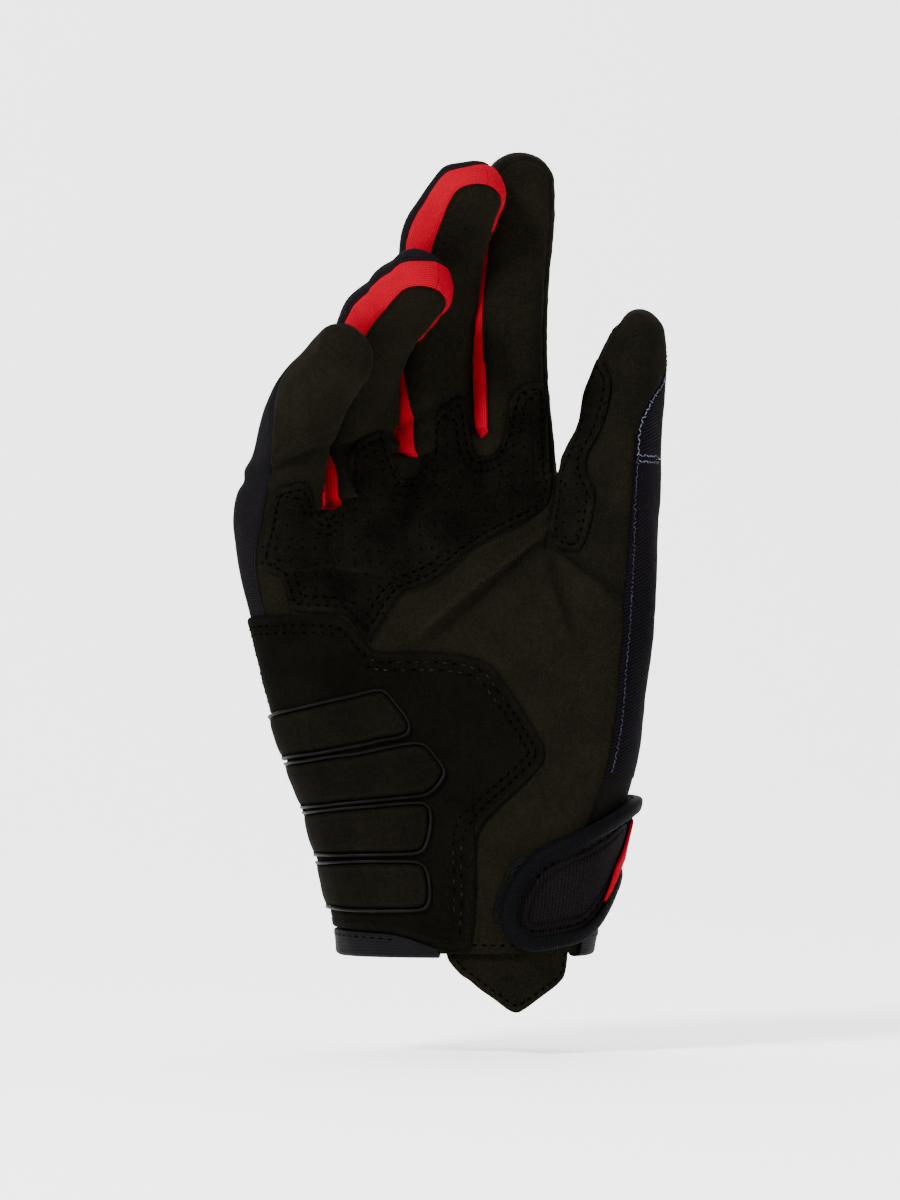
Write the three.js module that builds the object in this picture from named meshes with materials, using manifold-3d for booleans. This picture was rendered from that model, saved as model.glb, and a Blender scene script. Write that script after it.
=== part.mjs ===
import * as THREE from 'three';
import createKernel from 'manifold-3d';

// Main sizes in millimetres. +X is the thumb side, +Z runs to the fingertips, the palm faces -Y.
const GLOVE_LENGTH = 227.3;
const GLOVE_BREADTH = 121;
const WRIST_DEPTH = 50;

// Material thicknesses
const PALM_THICKNESS = 1.4;
const BACK_THICKNESS = 1.2;
const STRIP_THICKNESS = 1;
const GUSSET_THICKNESS = 1;
const PATCH_THICKNESS = 1;
const BINDING_THICKNESS = 0.8;
const HOOK_THICKNESS = 0.8;
const STRAP_THICKNESS = 1.6;
const RED_PANEL_THICKNESS = 0.8;
const TAB_THICKNESS = 1.2;
const PAD_HEIGHT = 1.6;
const RIM_WIDTH = 1;
const RIM_HEIGHT = 1.3;

// Clearances
const SEAM_GAP = 0.3;
const THUMB_SEAM_GAP = 0.7;
const SLIT_DEPTH = 1.3;
const LAYER_GAP = 0.3;
const RIM_GAP = 0.3;
const STRAP_COVER_GAP = 0.6;
const STRAP_EDGE_GAP = 0.5;
const CUFF_INNER_GAP = 0.6;

// Section shape of the hand and of every digit
const SECTION_POWER = 2.5;
const SEAM_SHARE = 0.8;
const TIP_ROUNDING = 0.95;
const CUFF_BINDING_DEPTH = 1.2;
const STRAP_BINDING_WIDTH = 4.2;
const GUSSET_RECESS = 0.3;

// Columns of the glove from the little finger to the thumb.
// Joints: x and wide as shares of the breadth, y and deep of the wrist depth, z of the length.
const JOINT = { x: 0, y: 1, z: 2, wide: 3, deep: 4 };
const DIGITS = [
  {
    name: 'little', swing: 28, blend: 0.132,
    joints: [
      [-0.463, -0.100, 0.422, 0.0926, 0.210],
      [-0.456, -0.190, 0.528, 0.0926, 0.210],
      [-0.433, -0.340, 0.601, 0.0876, 0.204],
      [-0.383, -0.560, 0.675, 0.0860, 0.198],
      [-0.324, -0.760, 0.724, 0.0810, 0.186],
      [-0.256, -0.920, 0.755, 0.0711, 0.170],
    ],
  },
  {
    name: 'ring', swing: 33, blend: 0.141,
    joints: [
      [-0.266, -0.030, 0.440, 0.0860, 0.216],
      [-0.261, -0.060, 0.563, 0.0876, 0.212],
      [-0.280, -0.160, 0.678, 0.0885, 0.208],
      [-0.221, -0.390, 0.766, 0.0885, 0.200],
      [-0.147, -0.590, 0.812, 0.0845, 0.190],
      [-0.074, -0.760, 0.847, 0.0744, 0.172],
    ],
  },
  {
    name: 'middle', swing: 30, blend: 0.141,
    joints: [
      [-0.083, 0.010, 0.458, 0.0860, 0.216],
      [-0.079, 0.010, 0.616, 0.0876, 0.212],
      [-0.093, -0.020, 0.757, 0.0885, 0.206],
      [-0.068, -0.170, 0.858, 0.0915, 0.200],
      [-0.021, -0.340, 0.928, 0.0880, 0.190],
      [0.036, -0.480, 0.977, 0.0777, 0.172],
    ],
  },
  {
    name: 'index', swing: 10, blend: 0.15,
    joints: [
      [0.094, 0.000, 0.458, 0.0860, 0.212],
      [0.101, 0.000, 0.625, 0.0851, 0.208],
      [0.102, 0.000, 0.757, 0.0868, 0.204],
      [0.110, 0.010, 0.867, 0.0884, 0.198],
      [0.115, 0.005, 0.941, 0.0860, 0.190],
      [0.117, -0.010, 1.000, 0.0777, 0.172],
    ],
  },
  {
    name: 'thumb', swing: -28, blend: 0.158,
    joints: [
      [0.319, -0.240, 0.422, 0.1174, 0.270],
      [0.332, -0.260, 0.550, 0.1140, 0.250],
      [0.346, -0.270, 0.638, 0.1066, 0.232],
      [0.360, -0.300, 0.695, 0.0983, 0.220],
      [0.379, -0.330, 0.752, 0.0793, 0.192],
      [0.385, -0.360, 0.802, 0.0612, 0.152],
    ],
  },
];
const LITTLE = 0;
const RING = 1;
const MIDDLE = 2;
const INDEX = 3;
const THUMB = 4;

// Webs between neighbouring columns: height as a share of the length, notch height in millimetres
const WEBS = [
  { height: 0.562, notch: 3.2 },
  { height: 0.614, notch: 3.2 },
  { height: 0.643, notch: 3.2 },
  { height: 0.590, notch: 15 },
];

// Edges of the columns as shares of the breadth at any height
const COLUMN_EDGES = [0, 0.207, 0.382, 0.564, 0.762, 1];

// Outline of the hand: height, left and right edge, cupping, palm seam on the left and on the right
const OUTLINE = { height: 0, left: 1, right: 2, cup: 3, seamLeft: 4, seamRight: 5 };
const OUTLINE_ROWS = [
  [-0.088, -0.298, 0.281, 0.00, 0.93, 0.72],
  [0.000, -0.306, 0.285, 0.05, 0.93, 0.76],
  [0.062, -0.322, 0.312, 0.20, 0.93, 0.78],
  [0.123, -0.349, 0.332, 0.45, 0.93, 0.80],
  [0.185, -0.382, 0.358, 0.70, 0.93, 0.83],
  [0.246, -0.424, 0.382, 0.90, 0.93, 0.86],
  [0.312, -0.465, 0.402, 1.00, 0.93, 0.86],
  [0.378, -0.496, 0.419, 1.00, 0.93, 0.86],
  [0.440, -0.527, 0.431, 1.00, 0.93, 0.86],
  [0.502, -0.548, 0.440, 1.00, 0.93, 0.86],
  [0.554, -0.555, 0.446, 1.00, 0.93, 0.86],
  [0.616, -0.550, 0.451, 1.00, 0.93, 0.86],
];

// How far each column is pushed back or forward in the cupped palm, as a share of the wrist depth
const CUP_SHARES = [-0.14, -0.05, 0.01, -0.02, -0.24];

// Depth of the palm side and of the back side: height, then one share for each column
const FRONT_ROWS = [
  [-0.088, 0.48, 0.50, 0.50, 0.50, 0.48],
  [0.000, 0.48, 0.50, 0.50, 0.50, 0.48],
  [0.123, 0.48, 0.46, 0.42, 0.44, 0.48],
  [0.246, 0.42, 0.34, 0.30, 0.36, 0.46],
  [0.378, 0.34, 0.26, 0.24, 0.28, 0.36],
  [0.502, 0.29, 0.25, 0.25, 0.25, 0.30],
  [0.616, 0.26, 0.24, 0.24, 0.24, 0.28],
];
const REAR_ROWS = [
  [-0.088, 0.44, 0.48, 0.48, 0.48, 0.44],
  [0.000, 0.44, 0.48, 0.48, 0.48, 0.44],
  [0.123, 0.40, 0.44, 0.42, 0.40, 0.40],
  [0.246, 0.36, 0.38, 0.36, 0.34, 0.38],
  [0.378, 0.32, 0.34, 0.32, 0.30, 0.36],
  [0.502, 0.28, 0.30, 0.30, 0.28, 0.30],
  [0.616, 0.26, 0.28, 0.28, 0.27, 0.28],
];

// Folds of the palm: from and to as shares of breadth and length, height and width in millimetres
const FOLDS = [
  { name: 'life line ridge', from: [0.18, 0.525], to: [-0.12, 0.395], height: 1.3, width: 4 },
  { name: 'hollow above the ridge', from: [0.16, 0.552], to: [-0.13, 0.425], height: -0.9, width: 4 },
  { name: 'thumb crease', from: [0.19, 0.515], to: [0.225, 0.405], height: -1.1, width: 2.6 },
  { name: 'thumb root crease', from: [0.19, 0.495], to: [0.34, 0.44], height: -0.8, width: 2.6 },
];

// Heights of seams as shares of the length
const TWILL_FOOT = 0.217;
const TWILL_SEAM = 0.62;
const LITTLE_WRAP_START = 0.605;
const THUMB_SEAM_ROWS = [[-1, 0.5055], [-0.28, 0.488], [0.26, 0.466], [0.56, 0.453], [0.8, 0.438], [1, 0.429]];

// Rows of the body grid between the cuff and the fingers, as shares of the length
const BODY_ROWS = [0, 0.06, 0.12, 0.18, 0.24, 0.30, 0.36, 0.42, 0.465];
const NOTCH_SHARES = [0.293, 1];
const FINGER_ROWS = 6;
const WRAP_ROWS = 6;
const SEAM_ROWS = 3;
const TIP_ROWS = 3;
const FACE_CELLS = 4;
const WALL_CELLS = 3;
const OUTER_WALL_CELLS = 5;

// Perforated palm patch: place across the columns, lower and upper edge as shares of the length
const PALM_PATCH = [
  [0.08, 0.499, 0.606], [0.25, 0.484, 0.616], [0.37, 0.462, 0.619], [0.42, 0.425, 0.621], [0.60, 0.425, 0.621],
  [0.80, 0.424, 0.596], [0.92, 0.423, 0.548], [1.02, 0.422, 0.546], [1.06, 0.422, 0.628], [1.14, 0.422, 0.640],
  [1.28, 0.403, 0.644], [1.43, 0.383, 0.646], [1.51, 0.393, 0.643], [1.57, 0.400, 0.590], [1.72, 0.415, 0.579],
  [1.86, 0.430, 0.577], [2.02, 0.445, 0.578], [2.08, 0.448, 0.586], [2.12, 0.450, 0.655], [2.20, 0.452, 0.675],
  [2.57, 0.463, 0.682], [2.64, 0.469, 0.645], [2.76, 0.478, 0.619], [3.04, 0.504, 0.613], [3.20, 0.516, 0.630],
  [3.28, 0.520, 0.668], [3.36, 0.525, 0.700], [3.64, 0.538, 0.712], [3.95, 0.553, 0.708],
];

// Thumb patch: height as a share of the length, left and right edge across the columns
const THUMB_PATCH = [
  [0.499, 4.26, 4.38], [0.503, 4.14, 4.43], [0.511, 4.05, 4.46], [0.535, 4.05, 4.52], [0.569, 4.05, 4.54],
  [0.580, 4.05, 4.51], [0.591, 4.05, 4.40], [0.608, 4.05, 4.33], [0.622, 4.05, 4.34], [0.645, 4.05, 4.48],
  [0.672, 4.05, 4.55], [0.706, 4.05, 4.55], [0.718, 4.05, 4.48], [0.730, 4.05, 4.30], [0.736, 4.06, 4.17],
];

// Patches laid round the hand: turn in degrees (0 thumb side, 90 palm, 180 little-finger side, 270 back),
// lower and upper edge as shares of the length
const HEEL_PATCH = [
  [188, 0.031, 0.410], [172, 0.031, 0.417], [150, 0.030, 0.419], [137, 0.029, 0.420], [123.7, 0.028, 0.420],
  [116.8, 0.026, 0.417], [114.1, 0.023, 0.404], [110.1, 0.021, 0.381], [108.5, 0.019, 0.374],
  [102.5, 0.014, 0.374], [98.5, 0.010, 0.374], [95.5, 0.005, 0.374], [91.9, 0.005, 0.374], [89, 0.005, 0.371],
  [88.4, 0.140, 0.370], [86.4, 0.162, 0.366], [84, 0.173, 0.362], [82.1, 0.181, 0.354], [79.1, 0.192, 0.332],
  [74.1, 0.210, 0.301], [70.7, 0.223, 0.279], [67.9, 0.235, 0.262], [66.9, 0.245, 0.251],
];
const HEEL_PADS = [
  [
    [186, 0.239, 0.290], [167.5, 0.242, 0.295], [150, 0.246, 0.301], [136.5, 0.249, 0.307], [117.2, 0.259, 0.320],
    [108.5, 0.266, 0.328], [105.9, 0.267, 0.325], [103.7, 0.269, 0.310], [101.6, 0.273, 0.296],
    [100.8, 0.279, 0.286],
  ],
  [
    [186, 0.179, 0.233], [168.5, 0.180, 0.235], [147.1, 0.183, 0.239], [130, 0.187, 0.245], [118.4, 0.190, 0.249],
    [104.8, 0.194, 0.259], [99.5, 0.196, 0.262], [97, 0.202, 0.258], [95.4, 0.208, 0.247], [94, 0.217, 0.236],
    [93.4, 0.223, 0.229],
  ],
  [
    [186, 0.119, 0.172], [163, 0.121, 0.174], [138.9, 0.122, 0.179], [120, 0.123, 0.183], [105.3, 0.124, 0.187],
    [101.6, 0.128, 0.187], [100, 0.139, 0.187], [98.9, 0.152, 0.183], [98.3, 0.165, 0.179],
  ],
  [
    [186, 0.055, 0.110], [160, 0.055, 0.111], [138, 0.053, 0.114], [123.5, 0.053, 0.115], [106.6, 0.054, 0.115],
    [102.9, 0.056, 0.113], [101.3, 0.064, 0.106], [100.7, 0.077, 0.094],
  ],
];
const HOOK_PATCH = [
  [83.2, 0.042, 0.059], [81.7, 0.039, 0.075], [80, 0.035, 0.090], [78.6, 0.035, 0.103], [76.5, 0.035, 0.115],
  [74, 0.035, 0.120], [68, 0.035, 0.121],
];
const WRIST_STRAP = [
  [80.4, 0.041, 0.055], [79.6, 0.033, 0.070], [78.1, 0.025, 0.084], [74.8, 0.014, 0.104], [70.2, 0.007, 0.121],
  [65.3, 0.004, 0.132], [58, 0.007, 0.141], [47, 0.011, 0.153], [37.2, 0.016, 0.163], [29.3, 0.025, 0.172],
  [23.3, 0.037, 0.178], [17.5, 0.055, 0.183], [11.8, 0.072, 0.187], [0, 0.088, 0.191], [-20, 0.092, 0.194],
  [-35, 0.090, 0.191], [-45, 0.088, 0.189], [-70, 0.079, 0.180], [-85, 0.075, 0.172], [-100, 0.073, 0.167],
];
const RED_PANEL = [
  [26.5, 0.063, 0.067], [22, 0.073, 0.090], [19, 0.082, 0.110], [12, 0.101, 0.125], [7.6, 0.110, 0.138],
  [2, 0.114, 0.163], [-10, 0.116, 0.168], [-20, 0.117, 0.169], [-45, 0.112, 0.164], [-58, 0.107, 0.160],
  [-70, 0.102, 0.154],
];
const PULL_TAB = [
  [96.2, -0.005, 0.026], [90, -0.031, 0.026], [86, -0.045, 0.026], [80, -0.057, 0.026], [76.8, -0.064, 0.026],
  [73.2, -0.071, 0.026], [69, -0.075, 0.026], [64.2, -0.069, 0.026], [58, -0.060, 0.026], [52.2, -0.052, 0.026],
  [39, -0.037, 0.026], [35, -0.029, 0.026], [33, -0.011, 0.026],
];

// Upper edge of the cuff binding: turn in degrees, height as a share of the length
const CUFF_BINDING_ROWS = [
  [98.5, 0.005], [102.5, 0.010], [111, 0.019], [120.7, 0.024], [139, 0.026], [163.9, 0.028], [190, 0.028],
  [270, 0.028], [391, 0.026],
];
const CUFF_BINDING_STEPS = 30;

const MATERIALS = {
  suede: { color: 0x16140e, roughness: 0.95, metalness: 0 },
  suedeHeel: { color: 0x100e08, roughness: 0.95, metalness: 0 },
  suedePatch: { color: 0x0c0c0a, roughness: 0.95, metalness: 0 },
  pad: { color: 0x12100a, roughness: 0.9, metalness: 0 },
  rim: { color: 0x1c1c20, roughness: 0.35, metalness: 0 },
  stretch: { color: 0x20202a, roughness: 0.8, metalness: 0 },
  red: { color: 0xdc141e, roughness: 0.75, metalness: 0 },
  twill: { color: 0x1c161c, roughness: 0.85, metalness: 0 },
  gusset: { color: 0x0e0c0a, roughness: 0.9, metalness: 0 },
  binding: { color: 0x0c0f14, roughness: 0.7, metalness: 0 },
  cuff: { color: 0x23242c, roughness: 0.75, metalness: 0 },
  strap: { color: 0x161218, roughness: 0.9, metalness: 0 },
  hook: { color: 0x050507, roughness: 0.95, metalness: 0 },
};

const clamp = THREE.MathUtils.clamp;
const lerp = THREE.MathUtils.lerp;

function smooth(value) {
  const t = clamp(value, 0, 1);
  return t * t * (3 - 2 * t);
}

function column(rows, index, scale = 1) {
  return rows.map((row) => row[index] * scale);
}

// Smooth curve through the knots, its slope at a knot taken from the two neighbours
function slopeAt(knots, values, i) {
  const before = Math.max(i - 1, 0);
  const after = Math.min(i + 1, knots.length - 1);
  return (values[after] - values[before]) / (knots[after] - knots[before]);
}

function curve(knots, values, x) {
  let i = 0;
  while (i < knots.length - 2 && x > knots[i + 1]) {
    i += 1;
  }
  const span = knots[i + 1] - knots[i];
  const t = clamp((x - knots[i]) / span, 0, 1);
  const square = t * t;
  const cube = square * t;
  const start = (2 * cube - 3 * square + 1) * values[i];
  const leave = (cube - 2 * square + t) * span * slopeAt(knots, values, i);
  const end = (3 * square - 2 * cube) * values[i + 1];
  const arrive = (cube - square) * span * slopeAt(knots, values, i + 1);
  return start + leave + end + arrive;
}

function straight(knots, values, x) {
  let i = 0;
  while (i < knots.length - 2 && x > knots[i + 1]) {
    i += 1;
  }
  const t = clamp((x - knots[i]) / (knots[i + 1] - knots[i]), 0, 1);
  return lerp(values[i], values[i + 1], t);
}

const outlineHeights = column(OUTLINE_ROWS, OUTLINE.height, GLOVE_LENGTH);
const outlineLeft = column(OUTLINE_ROWS, OUTLINE.left, GLOVE_BREADTH);
const outlineRight = column(OUTLINE_ROWS, OUTLINE.right, GLOVE_BREADTH);
const outlineCup = column(OUTLINE_ROWS, OUTLINE.cup, WRIST_DEPTH);
const outlineSeamLeft = column(OUTLINE_ROWS, OUTLINE.seamLeft);
const outlineSeamRight = column(OUTLINE_ROWS, OUTLINE.seamRight);
const frontHeights = column(FRONT_ROWS, 0, GLOVE_LENGTH);
const rearHeights = column(REAR_ROWS, 0, GLOVE_LENGTH);
const columnCentres = DIGITS.map((digit, k) => (COLUMN_EDGES[k] + COLUMN_EDGES[k + 1]) / 2);
const frontDepths = DIGITS.map((digit, k) => column(FRONT_ROWS, k + 1, WRIST_DEPTH));
const rearDepths = DIGITS.map((digit, k) => column(REAR_ROWS, k + 1, WRIST_DEPTH));
const webHeights = WEBS.map((web) => web.height * GLOVE_LENGTH);
const SHARE_MARGIN = 0.05;
const shareKnots = [-SHARE_MARGIN, ...columnCentres, 1 + SHARE_MARGIN];

// Value of a quantity known at the five column centres
function acrossColumns(values, share) {
  return curve(shareKnots, [values[LITTLE], ...values, values[THUMB]], share);
}

function foldHeight(x, z) {
  let total = 0;
  for (const fold of FOLDS) {
    const start = [fold.from[0] * GLOVE_BREADTH, fold.from[1] * GLOVE_LENGTH];
    const end = [fold.to[0] * GLOVE_BREADTH, fold.to[1] * GLOVE_LENGTH];
    const run = [end[0] - start[0], end[1] - start[1]];
    const reach = Math.hypot(run[0], run[1]);
    const along = ((x - start[0]) * run[0] + (z - start[1]) * run[1]) / (reach * reach);
    const side = ((x - start[0]) * run[1] - (z - start[1]) * run[0]) / reach;
    const ends = smooth(along * 4 + 0.5) * smooth((1 - along) * 4 + 0.5);
    total += fold.height * ends * Math.exp(-((side / fold.width) ** 2));
  }
  return total;
}

// Point of the whole hand: across -1..1, bulge -1 (back) .. 1 (palm), height z
function bodyPoint(across, bulge, z, inset) {
  const left = curve(outlineHeights, outlineLeft, z) + inset;
  const right = curve(outlineHeights, outlineRight, z) - inset;
  const share = (across + 1) / 2;
  const x = lerp(left, right, share);
  const cup = curve(outlineHeights, outlineCup, z);
  const middle = acrossColumns(CUP_SHARES, share) * cup;
  const heights = bulge > 0 ? frontHeights : rearHeights;
  const depths = bulge > 0 ? frontDepths : rearDepths;
  const depth = acrossColumns(depths.map((values) => curve(heights, values, z)), share) - inset;
  const fold = bulge > 0 ? foldHeight(x, z) * bulge : 0;
  return new THREE.Vector3(x, middle - depth * bulge - fold, z);
}

function makeBone(digit) {
  const points = digit.joints.map((row) => new THREE.Vector3(
    row[JOINT.x] * GLOVE_BREADTH,
    row[JOINT.y] * WRIST_DEPTH,
    row[JOINT.z] * GLOVE_LENGTH,
  ));
  const heights = [points[0].z];
  for (let i = 1; i < points.length; i += 1) {
    heights.push(heights[i - 1] + points[i].distanceTo(points[i - 1]));
  }
  const wide = column(digit.joints, JOINT.wide, GLOVE_BREADTH);
  const deep = column(digit.joints, JOINT.deep, WRIST_DEPTH);
  const tip = wide[wide.length - 1] * TIP_ROUNDING;
  const swing = THREE.MathUtils.degToRad(digit.swing);
  return {
    heights,
    wide,
    deep,
    tip,
    x: points.map((point) => point.x),
    y: points.map((point) => point.y),
    z: points.map((point) => point.z),
    top: heights[heights.length - 1] - tip,
    facing: new THREE.Vector3(Math.sin(swing), -Math.cos(swing), 0),
  };
}

const bones = DIGITS.map(makeBone);

function bonePoint(bone, height) {
  return new THREE.Vector3(
    curve(bone.heights, bone.x, height),
    curve(bone.heights, bone.y, height),
    curve(bone.heights, bone.z, height),
  );
}

// Point of a digit: across and bulge in its section, cap 0..1 over the rounded tip
const TANGENT_STEP = 0.05;
function digitPoint(k, across, bulge, height, cap, inset) {
  const bone = bones[k];
  const first = bone.heights[0];
  const last = bone.heights[bone.heights.length - 1];
  const reached = height + cap * (bone.tip - inset);
  const middle = clamp(reached, first + TANGENT_STEP, last - TANGENT_STEP);
  const tangent = bonePoint(bone, middle + TANGENT_STEP).sub(bonePoint(bone, middle - TANGENT_STEP)).normalize();
  const centre = bonePoint(bone, reached);
  centre.addScaledVector(tangent, Math.min(reached - first, 0) + Math.max(reached - last, 0));
  const lateral = new THREE.Vector3().crossVectors(tangent, bone.facing).normalize();
  const outward = new THREE.Vector3().crossVectors(lateral, tangent);
  const wide = curve(bone.heights, bone.wide, height) - inset;
  const deep = curve(bone.heights, bone.deep, height) - inset;
  return centre.addScaledVector(lateral, wide * across).addScaledVector(outward, deep * bulge);
}

function lowestWeb(k) {
  const near = [];
  if (k > LITTLE) {
    near.push(webHeights[k - 1]);
  }
  if (k < THUMB) {
    near.push(webHeights[k]);
  }
  return Math.min(...near);
}

// The hand turns into the digit over the blend length below the web
const BLEND_END = 1;
const BODY_END = 2;
function blendPoint(k, digit, body, height, cap, inset) {
  const low = lowestWeb(k);
  const blend = DIGITS[k].blend * GLOVE_LENGTH;
  const weight = smooth((height - (low - blend)) / (blend - BLEND_END));
  if (weight === 0) {
    return bodyPoint(body.across, body.bulge, height, inset);
  }
  const finger = digitPoint(k, digit.across, digit.bulge, height, cap, inset);
  if (weight === 1) {
    return finger;
  }
  return bodyPoint(body.across, body.bulge, Math.min(height, low + BODY_END), inset).lerp(finger, weight);
}

function bulgeAt(across) {
  return Math.max(1 - Math.abs(across) ** SECTION_POWER, 0) ** (1 / SECTION_POWER);
}

function columnEdge(place, height) {
  const share = straight([0, 1, 2, 3, 4, 5], COLUMN_EDGES, place);
  const left = curve(outlineHeights, outlineSeamLeft, height);
  const right = curve(outlineHeights, outlineSeamRight, height);
  return lerp(-left, right, share);
}

// Share of the way from the joined web to the free digit
function freedom(web, height) {
  const t = clamp((height - webHeights[web]) / WEBS[web].notch, 0, 1);
  return Math.sqrt(Math.max(1 - (1 - t) ** 2, 0));
}

function ownFacePoint(k, side, height, cap, inset, sign, seam) {
  const half = Math.sqrt(Math.max(seam ** 2 - cap ** 2, 0));
  const across = side * half;
  const bodyAcross = columnEdge(k + (side + 1) / 2, height);
  const digit = { across, bulge: sign * bulgeAt(Math.hypot(across, cap)) };
  const body = { across: bodyAcross, bulge: sign * bulgeAt(bodyAcross) };
  return blendPoint(k, digit, body, height, cap, inset);
}

// Palm face (sign 1) or back face (sign -1) of a column: side -1..1, height along the digit
const EDGE_ZONE = 0.3;
function facePoint(k, side, height, cap, inset, sign, seam = SEAM_SHARE) {
  const pulls = [];
  let drop = 0;
  for (const direction of [-1, 1]) {
    const web = direction < 0 ? k - 1 : k;
    if (web < 0 || web >= WEBS.length) {
      continue;
    }
    const zone = clamp((side * direction - EDGE_ZONE) / (1 - EDGE_ZONE), 0, 1) ** 2;
    const joined = zone * (1 - freedom(web, height));
    if (joined > 0) {
      const low = Math.min(height, webHeights[web] + WEBS[web].notch);
      pulls.push({ direction, joined, low });
      drop += inset * joined * smooth((height - webHeights[web] * 0.75) / (webHeights[web] * 0.2));
    }
  }
  const point = ownFacePoint(k, side, height - drop, cap, inset, sign, seam);
  for (const { direction, joined, low } of pulls) {
    const own = ownFacePoint(k, direction, low - drop, 0, inset, sign, seam);
    const other = ownFacePoint(k + direction, -direction, low - drop, 0, inset, sign, seam);
    point.addScaledVector(other.sub(own), joined / 2);
  }
  return point;
}

function sectionTurn(turn) {
  const across = Math.sign(Math.cos(turn)) * Math.abs(Math.cos(turn)) ** (2 / SECTION_POWER);
  const bulge = Math.sign(Math.sin(turn)) * Math.abs(Math.sin(turn)) ** (2 / SECTION_POWER);
  return { across, bulge };
}

function ownWallPoint(k, side, share, height, inset) {
  const seamTurn = Math.acos(SEAM_SHARE ** (SECTION_POWER / 2));
  const section = sectionTurn(seamTurn * (1 - 2 * share));
  const outer = k + side < LITTLE || k + side > THUMB;
  const edge = Math.abs(columnEdge(side < 0 ? k : k + 1, height));
  const edgeTurn = Math.acos(edge ** (SECTION_POWER / 2));
  const rounded = sectionTurn(edgeTurn * (1 - 2 * share));
  const inner = columnEdge(side < 0 ? k : k + 1, height);
  const body = outer
    ? { across: side * rounded.across, bulge: rounded.bulge }
    : { across: inner, bulge: section.bulge * bulgeAt(inner) };
  const digit = { across: side * section.across, bulge: section.bulge };
  return blendPoint(k, digit, body, height, 0, inset);
}

// Side wall of a column: share 0 at the palm seam .. 1 at the back seam
function wallPoint(k, side, share, height, inset) {
  const neighbour = k + side;
  if (neighbour < LITTLE || neighbour > THUMB) {
    return ownWallPoint(k, side, share, height, inset);
  }
  const web = Math.min(k, neighbour);
  const joined = 1 - freedom(web, height);
  const drop = inset * joined;
  const point = ownWallPoint(k, side, share, height - drop, inset);
  if (joined > 0) {
    const low = Math.min(height, webHeights[web] + WEBS[web].notch) - drop;
    const own = ownWallPoint(k, side, share, low, inset);
    const other = ownWallPoint(neighbour, -side, share, low, inset);
    point.addScaledVector(other.sub(own), joined / 2);
  }
  return point;
}

// Wall over the rounded tip: turn 0 on the thumb side .. pi on the little-finger side
function tipPoint(k, share, turn, inset) {
  const seamTurn = Math.acos(SEAM_SHARE ** (SECTION_POWER / 2));
  const section = sectionTurn(seamTurn * (1 - 2 * share));
  const across = section.across * Math.cos(turn);
  return digitPoint(k, across, section.bulge, bones[k].top, section.across * Math.sin(turn), inset);
}

// Point on the whole hand by turn in degrees
function ringPoint(turn, height, inset) {
  const section = sectionTurn(THREE.MathUtils.degToRad(turn));
  return bodyPoint(section.across, section.bulge, height, inset);
}

function palmPoint(place, height, inset) {
  const k = clamp(Math.floor(place), LITTLE, THUMB);
  return facePoint(k, 2 * (place - k) - 1, height, 0, inset, 1);
}

// A sheet gathers grids of points into one closed body with an outer and an inner skin
const WELD = 1000;
class Sheet {
  constructor() {
    this.outer = [];
    this.inner = [];
    this.faces = [];
    this.known = new Map();
  }

  vertex(outer, inner) {
    const key = [outer.x, outer.y, outer.z].map((value) => Math.round(value * WELD)).join(' ');
    if (!this.known.has(key)) {
      this.known.set(key, this.outer.length);
      this.outer.push(outer);
      this.inner.push(inner);
    }
    return this.known.get(key);
  }

  face(a, b, c) {
    if (a !== b && b !== c && c !== a) {
      this.faces.push([a, b, c]);
    }
  }

  // place(row, column, outer) gives a point; flip turns the faces of this grid over
  grid(rows, columns, place, flip = false) {
    const ids = [];
    for (let i = 0; i <= rows; i += 1) {
      ids.push([]);
      for (let j = 0; j <= columns; j += 1) {
        ids[i].push(this.vertex(place(i, j, true), place(i, j, false)));
      }
    }
    for (let i = 0; i < rows; i += 1) {
      for (let j = 0; j < columns; j += 1) {
        const [a, b, c, d] = [ids[i][j], ids[i][j + 1], ids[i + 1][j + 1], ids[i + 1][j]];
        if (flip) {
          this.face(a, c, b);
          this.face(a, d, c);
        } else {
          this.face(a, b, c);
          this.face(a, c, d);
        }
      }
    }
    return this;
  }

  geometry() {
    const count = this.outer.length;
    const triangles = [];
    const edges = new Set();
    for (const [a, b, c] of this.faces) {
      triangles.push([a, b, c], [c + count, b + count, a + count]);
      edges.add(`${a} ${b}`).add(`${b} ${c}`).add(`${c} ${a}`);
    }
    for (const edge of edges) {
      const [a, b] = edge.split(' ').map(Number);
      if (!edges.has(`${b} ${a}`)) {
        triangles.push([b, a, a + count], [b, a + count, b + count]);
      }
    }
    return closedGeometry([...this.outer, ...this.inner], triangles);
  }
}

// Indexed geometry with its faces turned outwards
function closedGeometry(points, triangles) {
  const corner = new THREE.Vector3();
  let volume = 0;
  for (const [a, b, c] of triangles) {
    volume += corner.crossVectors(points[b], points[c]).dot(points[a]);
  }
  const faces = volume < 0 ? triangles.map(([a, b, c]) => [a, c, b]) : triangles;
  const geometry = new THREE.BufferGeometry();
  geometry.setAttribute('position', new THREE.Float32BufferAttribute(points.flatMap((point) => point.toArray()), 3));
  geometry.setIndex(faces.flat());
  geometry.computeVertexNormals();
  return geometry;
}

// Closed loop of profile points carried along stations, the ends closed
function sweepGeometry(stations, loopCount, place) {
  const points = [];
  for (let i = 0; i < stations; i += 1) {
    for (let j = 0; j < loopCount; j += 1) {
      points.push(place(i, j));
    }
  }
  const triangles = [];
  for (let i = 0; i + 1 < stations; i += 1) {
    for (let j = 0; j < loopCount; j += 1) {
      const next = (j + 1) % loopCount;
      const [a, b] = [i * loopCount + j, i * loopCount + next];
      triangles.push([a, b, b + loopCount], [a, b + loopCount, a + loopCount]);
    }
  }
  return { points, triangles };
}

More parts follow.
